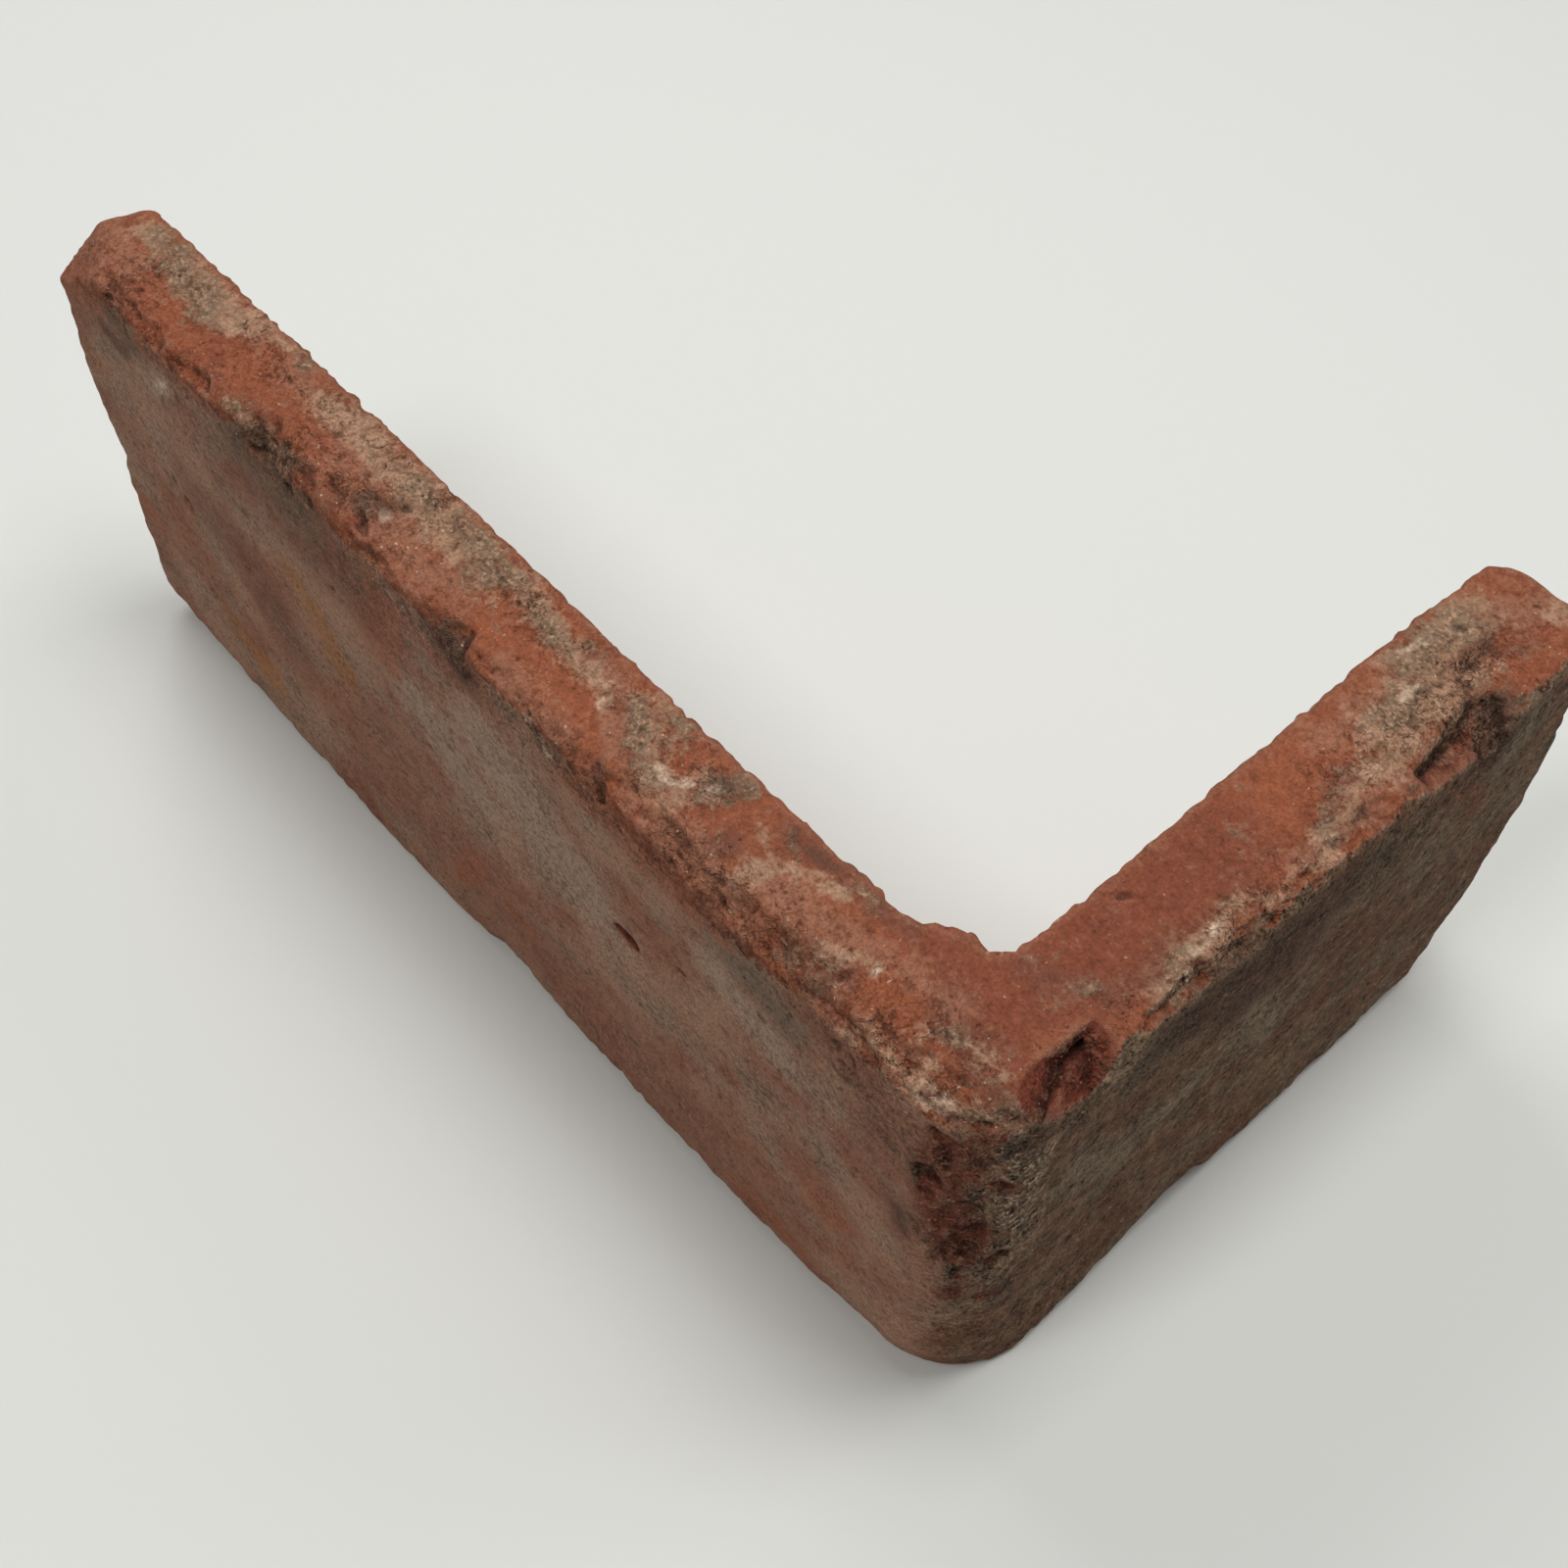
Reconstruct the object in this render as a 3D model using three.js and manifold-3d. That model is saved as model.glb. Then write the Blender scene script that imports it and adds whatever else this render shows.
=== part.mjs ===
// Corner slip sawn from one handmade clay brick.
//
// The brick was moulded, fired and worn in a wall, and then two saw cuts took its body away. What is
// left is one L-shaped shell: a long leg with the stretcher face, and a short leg with the header face.
// Glued round the corner of a wall, it looks like a whole brick.
//
// Millimetres, +Z up. The slip stands on its lower bed. X runs along the long leg, towards the outer
// corner, and Y runs along the short leg, away from it. The origin is the bottom centre of its box.

import * as THREE from 'three';
import { mergeVertices } from 'three/addons/utils/BufferGeometryUtils.js';
import Module from 'manifold-3d';

const wasm = await Module();
wasm.setup();

// ---- Driving dimensions ----

const STRETCHER_LENGTH = 200; // long leg, from its end to the outer corner
const HEADER_LENGTH = 115; // short leg, from the outer corner to its end
const BRICK_HEIGHT = 88; // from the lower bed to the upper bed
const LONG_LEG_THICKNESS = 15.5; // stretcher face to its sawn back
const SHORT_LEG_THICKNESS = 17.5; // header face to its sawn back

const CORNER_RADIUS = 10; // the outer corner, as moulded and worn
const END_RADIUS = 2.5; // the upright edges at the two ends
const ARRIS_WEAR = 2; // rounding of the outer edges of both beds
const LONG_END_SKEW = 7.5; // how much shorter the long leg is along its back
const SHORT_END_LEAN = 5; // how far the foot of the short leg's end draws in
const SHORT_END_LEAN_HEIGHT = 52; // height over which it draws in

const SAW_RADIUS = 4; // runout of the saw on the back of the short leg
const SNAP_LENGTH = 11.5; // ragged web left where the two cuts met, along the long leg
const SNAP_HEIGHT = 3.5; // how far the web stands off the back of the long leg
const SNAP_STEP = 2; // its broken edge

const FACETS_PER_QUARTER = 6; // flats on a quarter turn of a worn edge
const OVERCUT = 10; // how far a cut runs past the clay

const CLAY = { color: 0xa8573c, roughness: 0.95, metalness: 0 };

// ---- Places on the brick, in its corner frame ----
// The corner frame has its origin at the foot of the outer corner, where the stretcher plane, the
// header plane and the lower bed meet. The long leg runs to -X and the short leg to +Y.

const onLongArris = (fromCorner, drop = 0) => new THREE.Vector3(-fromCorner, 0, BRICK_HEIGHT - drop);
const onShortArris = (fromCorner, drop = 0) => new THREE.Vector3(0, fromCorner, BRICK_HEIGHT - drop);
const onLongFoot = (fromCorner) => new THREE.Vector3(-fromCorner, 0, 0);
const onShortFoot = (fromCorner) => new THREE.Vector3(0, fromCorner, 0);
const onSawnArris = (fromCorner) => new THREE.Vector3(-fromCorner, LONG_LEG_THICKNESS, BRICK_HEIGHT);
const onCorner = (drop) => {
  const inset = CORNER_RADIUS * (1 - Math.SQRT1_2);
  return new THREE.Vector3(-inset, inset, BRICK_HEIGHT - drop);
};

// Each chip is a faceted hollow: the place of its middle, its half sizes along X, Y and Z, and its
// turn in degrees about Z.
const CHIPS = [
  { name: 'gouge in the header arris', middle: onShortArris(14.5, 0.5), half: [6.5, 9.5, 5.5], turn: 0 },
  { name: 'scar down the outer corner', middle: onCorner(24), half: [6.5, 3.6, 17], turn: 45 },
  { name: 'broken top of the corner', middle: onCorner(0), half: [5, 3, 5], turn: 45 },
  { name: 'recess near the end of the header arris', middle: onShortArris(89, 2), half: [6, 12, 6.5], turn: 4 },
  { name: 'shallow spall beside the recess', middle: onShortArris(78, 0), half: [3, 7, 4], turn: 0 },
  { name: 'scallop in the middle of the header arris', middle: onShortArris(46, 0), half: [2.6, 13, 3], turn: 0 },
  { name: 'chip in the foot of the short leg', middle: onShortFoot(49), half: [3.5, 8, 6], turn: 0 },
  { name: 'first scallop in the stretcher arris', middle: onLongArris(28), half: [11, 3, 4], turn: 0 },
  { name: 'second scallop in the stretcher arris', middle: onLongArris(62), half: [15, 2.6, 4], turn: 0 },
  { name: 'third scallop in the stretcher arris', middle: onLongArris(97), half: [9, 3, 5], turn: 0 },
  { name: 'long scallop in the stretcher arris', middle: onLongArris(137), half: [16, 3, 5], turn: 0 },
  { name: 'small scallop in the stretcher arris', middle: onLongArris(180), half: [7, 2.6, 5], turn: 0 },
  { name: 'spall in the foot of the long leg', middle: onLongFoot(92), half: [20, 2.8, 4], turn: 0 },
  { name: 'spall near the foot of the corner', middle: onLongFoot(34), half: [16, 3.2, 5], turn: 0 },
  { name: 'broken foot of the short end', middle: onShortFoot(112).setZ(7), half: [6, 6, 12], turn: 0 },
  { name: 'notch in the sawn arris', middle: onSawnArris(151), half: [3, 1.6, 2.6], turn: 0 },
];

// The flat break at the far end of the long leg: how far it reaches along the three edges that met there.
const END_BREAK = { alongLeg: 16, acrossEnd: 8.5, down: 9 };

// ---- Solids ----

// Turns a closed three.js geometry into a solid that can be cut.
function solidOf(geometry) {
  const bare = geometry.clone();
  bare.deleteAttribute('normal');
  bare.deleteAttribute('uv');
  const merged = mergeVertices(bare);
  return new wasm.Manifold(new wasm.Mesh({
    numProp: 3,
    vertProperties: new Float32Array(merged.attributes.position.array),
    triVerts: new Uint32Array(merged.index.array),
  }));
}

// Turns a solid back into a geometry with flat-shaded faces.
function geometryOf(solid) {
  const mesh = solid.getMesh();
  const geometry = new THREE.BufferGeometry();
  geometry.setAttribute('position', new THREE.BufferAttribute(new Float32Array(mesh.vertProperties), 3));
  geometry.setIndex(new THREE.BufferAttribute(new Uint32Array(mesh.triVerts), 1));
  const faceted = geometry.toNonIndexed();
  faceted.computeVertexNormals();
  return faceted;
}

// A polygon of THREE.Vector2 points whose corners are rounded, each by its own radius.
function roundedShape(points, radii) {
  const shape = new THREE.Shape();
  points.forEach((point, i) => {
    const before = points[(i + points.length - 1) % points.length];
    const after = points[(i + 1) % points.length];
    const back = before.clone().sub(point).normalize();
    const ahead = after.clone().sub(point).normalize();
    const halfAngle = Math.acos(back.dot(ahead)) / 2;
    const reach = radii[i] / Math.tan(halfAngle);
    const centre = back.clone().add(ahead).normalize().multiplyScalar(radii[i] / Math.sin(halfAngle)).add(point);
    const from = back.multiplyScalar(reach).add(point).sub(centre);
    const to = ahead.multiplyScalar(reach).add(point).sub(centre);
    shape.absarc(centre.x, centre.y, radii[i], from.angle(), to.angle(), from.cross(to) < 0);
  });
  return shape;
}

// The brick as it came out of the wall, up to the diagonal between the two ends, which is sawn away.
// The skewed end's sharp corner lies past the long leg's length by what the rounding takes off it.
function wornBrick() {
  const endAngle = Math.atan2(LONG_LEG_THICKNESS, LONG_END_SKEW);
  const sharpEnd = -STRETCHER_LENGTH - END_RADIUS * (1 / Math.tan(endAngle / 2) - 1);
  const outline = [
    new THREE.Vector2(sharpEnd, 0),
    new THREE.Vector2(0, 0),
    new THREE.Vector2(0, HEADER_LENGTH),
    new THREE.Vector2(-SHORT_LEG_THICKNESS * 2, HEADER_LENGTH),
    new THREE.Vector2(sharpEnd + LONG_END_SKEW * 2, LONG_LEG_THICKNESS * 2),
  ];
  const radii = [END_RADIUS, CORNER_RADIUS, END_RADIUS, END_RADIUS, END_RADIUS];
  const brick = new THREE.ExtrudeGeometry(roundedShape(outline, radii), {
    depth: BRICK_HEIGHT - 2 * ARRIS_WEAR,
    curveSegments: FACETS_PER_QUARTER,
    bevelSegments: FACETS_PER_QUARTER / 2,
    bevelThickness: ARRIS_WEAR,
    bevelSize: ARRIS_WEAR,
    bevelOffset: -ARRIS_WEAR,
  });
  return solidOf(brick.translate(0, 0, ARRIS_WEAR));
}

// What the saw took out: two straight cuts, a rounded runout and the broken web between them.
function sawnBlock() {
  const back = LONG_LEG_THICKNESS;
  const side = -SHORT_LEG_THICKNESS;
  const snapTop = back + SNAP_HEIGHT;
  const shape = new THREE.Shape();
  shape.moveTo(-STRETCHER_LENGTH - OVERCUT, back);
  shape.lineTo(side - SNAP_LENGTH, back);
  shape.lineTo(side - SNAP_LENGTH + SNAP_STEP, back + SNAP_STEP);
  shape.lineTo(side - SAW_RADIUS, snapTop);
  shape.absarc(side - SAW_RADIUS, snapTop + SAW_RADIUS, SAW_RADIUS, -Math.PI / 2, 0, false);
  shape.lineTo(side, HEADER_LENGTH + OVERCUT);
  shape.lineTo(-STRETCHER_LENGTH - OVERCUT, HEADER_LENGTH + OVERCUT);
  const block = new THREE.ExtrudeGeometry(shape, {
    depth: BRICK_HEIGHT + 2 * OVERCUT,
    curveSegments: FACETS_PER_QUARTER,
    bevelEnabled: false,
  });
  return solidOf(block.translate(0, 0, -OVERCUT));
}

// The clay missing from the foot of the short leg's end, which leans in.
function leanWedge() {
  const shape = new THREE.Shape();
  const reach = OVERCUT * SHORT_END_LEAN / SHORT_END_LEAN_HEIGHT;
  shape.moveTo(HEADER_LENGTH, SHORT_END_LEAN_HEIGHT);
  shape.lineTo(HEADER_LENGTH - SHORT_END_LEAN - reach, -OVERCUT);
  shape.lineTo(HEADER_LENGTH + OVERCUT, -OVERCUT);
  shape.lineTo(HEADER_LENGTH + OVERCUT, SHORT_END_LEAN_HEIGHT);
  const wedge = new THREE.ExtrudeGeometry(shape, {
    depth: SHORT_LEG_THICKNESS * 4,
    bevelEnabled: false,
  });
  const yzToWorld = new THREE.Matrix4().makeBasis(
    new THREE.Vector3(0, 1, 0),
    new THREE.Vector3(0, 0, 1),
    new THREE.Vector3(1, 0, 0),
  );
  return solidOf(wedge.applyMatrix4(yzToWorld).translate(-SHORT_LEG_THICKNESS * 3, 0, 0));
}

function chip({ middle, half, turn }) {
  const hollow = new THREE.IcosahedronGeometry(1, 2);
  hollow.scale(...half).rotateZ(THREE.MathUtils.degToRad(turn));
  return solidOf(hollow.translate(middle.x, middle.y, middle.z));
}

// A block whose lower side lies on the plane through three points, on the side that faces outward.
function blockBeyond(points, outward) {
  const plane = new THREE.Plane().setFromCoplanarPoints(...points);
  if (plane.normal.dot(outward) < 0) plane.negate();
  const middle = points.reduce((sum, point) => sum.add(point), new THREE.Vector3()).divideScalar(points.length);
  const size = 2 * BRICK_HEIGHT / 3;
  const block = new THREE.BoxGeometry(size, size, size).translate(0, 0, size / 2);
  const up = new THREE.Vector3(0, 0, 1);
  block.applyQuaternion(new THREE.Quaternion().setFromUnitVectors(up, plane.normal));
  return solidOf(block.translate(middle.x, middle.y, middle.z));
}

function endBreak() {
  const { alongLeg, acrossEnd, down } = END_BREAK;
  const skew = LONG_END_SKEW / LONG_LEG_THICKNESS;
  return blockBeyond([
    new THREE.Vector3(-STRETCHER_LENGTH + alongLeg, 0, BRICK_HEIGHT),
    new THREE.Vector3(-STRETCHER_LENGTH + acrossEnd * skew, acrossEnd, BRICK_HEIGHT),
    new THREE.Vector3(-STRETCHER_LENGTH, 0, BRICK_HEIGHT - down),
  ], new THREE.Vector3(-1, -1, 1));
}

// ---- The slip ----

const cuts = [sawnBlock(), leanWedge(), endBreak(), ...CHIPS.map(chip)];
const slip = cuts.reduce((solid, cut) => solid.subtract(cut), wornBrick());

const cornerSlip = new THREE.Mesh(geometryOf(slip), new THREE.MeshStandardMaterial(CLAY));
cornerSlip.name = 'corner_slip';
cornerSlip.position.set(STRETCHER_LENGTH / 2, -HEADER_LENGTH / 2, 0);

const group = new THREE.Group();
group.add(cornerSlip);

export default group;
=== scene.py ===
# Looks of the corner slip, built round the imported frame.
#
# The slip is one closed mesh. A coarse prism with the slip's plan is laid out as a grid, each of
# its points is marched inwards to the surface of the worn clay, and fine relief is added on top.
# What shows on the clay (mortar, stones, stains, dark patches, bare and broken clay) is drawn as
# strokes, and so are painted shade in its hollows and painted shadow lines in its clefts. The
# strokes become float attributes of the mesh. The material lays its colours by them.
#
# Shapes are in millimetres in the slip's corner frame. Its origin is the foot of the outer corner.
# The long leg runs to -X with its stretcher face at y = 0, and the short leg runs to +Y with its
# header face at x = 0. The upper bed is at z = HEIGHT.

from itertools import product

import bmesh
import bpy
import numpy as np
from mathutils import Matrix, Vector

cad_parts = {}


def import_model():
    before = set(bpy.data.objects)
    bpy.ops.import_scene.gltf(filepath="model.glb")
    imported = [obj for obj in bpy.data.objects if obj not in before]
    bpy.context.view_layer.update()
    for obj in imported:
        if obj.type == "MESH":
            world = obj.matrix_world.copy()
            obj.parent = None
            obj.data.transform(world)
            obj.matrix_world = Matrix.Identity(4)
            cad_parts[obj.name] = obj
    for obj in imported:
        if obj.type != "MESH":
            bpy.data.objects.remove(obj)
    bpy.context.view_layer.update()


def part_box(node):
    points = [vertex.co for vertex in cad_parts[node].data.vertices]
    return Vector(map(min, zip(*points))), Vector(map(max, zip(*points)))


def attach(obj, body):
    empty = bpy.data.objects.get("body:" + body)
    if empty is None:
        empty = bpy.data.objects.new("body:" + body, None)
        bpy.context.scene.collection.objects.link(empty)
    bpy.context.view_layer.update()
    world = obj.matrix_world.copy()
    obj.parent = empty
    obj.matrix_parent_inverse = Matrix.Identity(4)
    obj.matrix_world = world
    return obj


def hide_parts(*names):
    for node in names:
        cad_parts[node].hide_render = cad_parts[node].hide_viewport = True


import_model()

# ---- Sizes ----

MM = 0.001
low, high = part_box("corner_slip")
CORNER = np.array([high.x, low.y, low.z])  # the origin of the corner frame, in metres
LENGTH, WIDTH, HEIGHT = [(b - a) / MM for a, b in zip(low, high)]
LONG_LEG = 15.4  # about the thickness of the long leg, which WEB gives in full
SHORT_LEG = 17.6  # and of the short leg, which SHORT_BACK gives in full
MEDIAL = 8.0  # depth of the line on which the marching rays meet

# ---- Noise ----

LATTICE = 32
draw = np.random.default_rng(1871)
GRADIENTS = draw.normal(size=(LATTICE, LATTICE, LATTICE, 3))
GRADIENTS /= np.linalg.norm(GRADIENTS, axis=-1, keepdims=True)
SPOTS = draw.uniform(size=(LATTICE, LATTICE, LATTICE, 4))
TILT = np.linalg.qr(draw.normal(size=(3, 3)))[0]
SHIFTS = draw.uniform(0, LATTICE, size=(200, 3))
NOISE_GAIN = 1.7  # brings the noise to about -1 to 1
SMALLEST_PIT, PIT_SPAN = 0.12, 0.3  # the least radius of a pit and the range above it, in cells


def noise(points, size, key):
    """Smooth noise, mostly from -1 to 1, with features of that size. Each key gives another."""
    q = points @ TILT / size + SHIFTS[key]
    cell = np.floor(q).astype(int)
    inside = q - cell
    fade = inside**3 * (inside * (inside * 6 - 15) + 10)
    total = np.zeros(len(points))
    for step in product((0, 1), repeat=3):
        at = (cell + step) % LATTICE
        gradient = GRADIENTS[at[:, 0], at[:, 1], at[:, 2]]
        share = np.prod(np.where(step, fade, 1 - fade), axis=1)
        total += share * np.einsum("ij,ij->i", gradient, inside - step)
    return total * NOISE_GAIN


def layers(points, size, key, count):
    return sum(noise(points, size / 2**k, key + k) / 2**k for k in range(count))


def warped(points, size, reach, key):
    return points + reach * np.stack([noise(points, size, key + k) for k in range(3)], 1)


def pits(points, size, key, share):
    """Round dimples, 1 at the middle and 0 outside, in that share of the cells of that size."""
    q = points @ TILT / size + SHIFTS[key]
    cell = np.floor(q - 0.5).astype(int)
    deepest = np.zeros(len(points))
    for step in product((0, 1), repeat=3):
        at = (cell + step) % LATTICE
        spot = SPOTS[at[:, 0], at[:, 1], at[:, 2]]
        middle = cell + step + 0.25 + 0.5 * spot[:, :3]
        radius = SMALLEST_PIT + PIT_SPAN * (spot[:, 3] / share)
        away = np.linalg.norm(q - middle, axis=1) / radius
        depth = np.clip(1 - away**2, 0, 1) * radius / (SMALLEST_PIT + PIT_SPAN)
        deepest = np.maximum(deepest, np.where(spot[:, 3] < share, depth, 0))
    return deepest


def smooth_max(a, b, blend):
    share = np.clip(0.5 + 0.5 * (a - b) / blend, 0, 1)
    return b + (a - b) * share + blend * share * (1 - share)


def smoothstep(low_edge, high_edge, value):
    t = np.clip((value - low_edge) / (high_edge - low_edge), 0, 1)
    return t * t * (3 - 2 * t)


# ---- Worn clay ----

# Profiles give an amount by place, in order. Between two places it changes evenly.

# Radius of the outer corner, by height.
CORNER_RADIUS = {0: 13.5, 12: 12, 45: 10, 70: 10, 88: 13}
# How far the end of the stretcher face is from the outer corner, by height.
LONG_END = {
    0: 200, 6: 201.3, 12: 201.4, 26: 200.3, 34: 199.9, 42: 199.3, 48: 200.6, 54: 201.7, 61: 201.7,
    67: 201.1, 74: 200.6, 80: 200.6, 88: 201,
}
# How far the end of the header face is from the outer corner, by height.
SHORT_END = {
    0: 106.8, 7: 107.8, 14: 109.2, 20: 112.4, 26: 114, 34: 114.5, 39: 115.4, 45: 116.6, 52: 117.1,
    58: 117.2, 66: 116.4, 76: 115, 88: 113.9,
}
END_SKEW = 7.3  # how much shorter the long leg is along its back
# Width of the worn arris of the upper bed, by x + y, which is below zero on the long leg.
TOP_WEAR = {
    -200: 2, -184: 2, -180: 3, -176: 2.6, -165: 1.6, -152: 1.4, -148: 3, -144: 5, -140: 5.4,
    -136.5: 4, -133: 2.4, -129: 2, -125: 1.4, -104: 1.2, -98: 1.8, -92: 2, -84: 1.2, -76: 2, -69: 3,
    -60: 3, -50: 3.6, -40: 4.2, -30: 4, -20: 3.6, -8: 3, 3: 2, 24: 1.8, 36: 2.4, 46: 3.4, 58: 2.6,
    70: 2, 96: 2, 113: 2.6,
}
# The same for the lower bed.
FOOT_WEAR = {
    -200: 4.6, -190: 4.6, -182: 3, -176: 1.8, -160: 1.4, -150: 1.8, -140: 0.8, -110: 1.0, -98: 3.8,
    -90: 3.6, -80: 2.6, -66: 3, -57: 2.6, -50: 3, -38: 2.6, -26: 2.4, 0: 1.8, 12: 1.2, 22: 1.8,
    34: 2.6, 60: 2, 90: 2.2, 108: 4,
}
# How far the foot of the stretcher face stands back, by x. Below zero it bulges.
STRETCHER_TAPER = {
    -150: 0, -136: -0.2, -125: -0.6, -112: -0.5, -100: 0, -80: -0.2, -50: -0.2, -26: 1.1, -14: 2.0,
    0: 2.6,
}
# The same for the header face, by y.
HEADER_TAPER = {8: 0.2, 16: -0.7, 28: -0.9, 40: 0.4, 52: 0.2, 70: 0, 110: 0.3}
TAPER_RISE = 14  # height at which the faces are upright again
# The back of the long leg, by x. It ends in the broken web between the two saw cuts.
WEB = {
    -200: 15.8, -150: 15.9, -110: 15.5, -60: 15.3, -45: 15.6, -38: 15.9, -36: 16.2, -33: 15.8,
    -31: 15.6, -28.6: 15.9, -27: 17.6, -25.4: 18.5, -24.2: 18.8, -23.2: 20.0, -21.6: 19.9,
    -19.8: 19.8, -18.8: 20.4, -17: 20.6,
}
# The thickness of the short leg, by y, from the same web on.
SHORT_BACK = {
    20: 18.9, 20.4: 18.8, 22: 18.1, 24: 17.7, 28: 17.5, 40: 17.5, 60: 18, 80: 18.2, 97: 18.2,
    106: 17.9, 113: 17.5,
}

# Each hollow: its middle, half sizes, turn about Z in degrees, and the flat walls that stand in
# it, each a point and the direction in which the clay beyond it is gone.
CLEAN_BREAKS = (
    # gouge in the arris of the header face: a steep wall, a facet below it, a floor and both ends
    (
        (-1, 14, 87), (14, 14, 14), 0,
        ((-5.4, 20, 88), (0.99, -0.07, 0.1)), ((-6.1, 12, 88), (0.57, 0.29, 0.77)),
        ((-5.1, 18.5, 84.8), (0.48, 0.25, 0.84)), ((-4.2, 7.8, 88), (0.45, 0.8, 0.4)),
        ((-3, 22.4, 88), (-0.1, -0.75, 0.65)),
    ),
    # clefts along the foot of the wall
    ((-4.9, 18.8, 84.8), (0.6, 2.6, 1.3), 6),
    ((-3, 13.8, 85), (0.5, 4.8, 0.9), 24),
    # recess near the end of that arris: a floor, a steep wall beside it and a slope at its end
    (
        (0, 88, 88), (14, 14, 14), 0,
        ((0, 83, 84.2), (0.14, 0.15, 0.98)), ((-3.2, 78.5, 88), (0.93, 0.17, 0.32)),
        ((-2, 77, 88), (0.05, 0.85, 0.52)), ((-2.4, 94.7, 88), (0.1, -0.58, 0.81)),
    ),
    # steep facet at the far end of the recess
    (
        (-1, 92, 86), (14, 14, 14), 0,
        ((-5.4, 92, 88), (0.79, -0.05, 0.6)), ((-2, 88, 84), (-0.25, 0.91, 0.33)),
        ((-1.6, 95.6, 88), (0.08, -0.99, 0.12)),
    ),
    # chip in the arris of the stretcher face
    (
        (-99, 0, 85), (8.5, 7, 9), 0,
        ((-101, 2.4, 88), (0.33, -0.85, 0.42)), ((-96, 1.2, 88), (-0.85, -0.35, 0.4)),
    ),
    # step between the mortar and the clay beyond the recess
    (
        (-5, 97, 88), (14, 14, 14), 0,
        ((-9.9, 97, 88), (0.94, 0.05, 0.3)), ((-9.6, 97, 86.7), (-0.2, 0, 0.98)),
        ((-8, 91.6, 88), (0.1, 0.45, 0.88)), ((-8, 104.4, 88), (0.1, -0.36, 0.93)),
    ),
)
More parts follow.
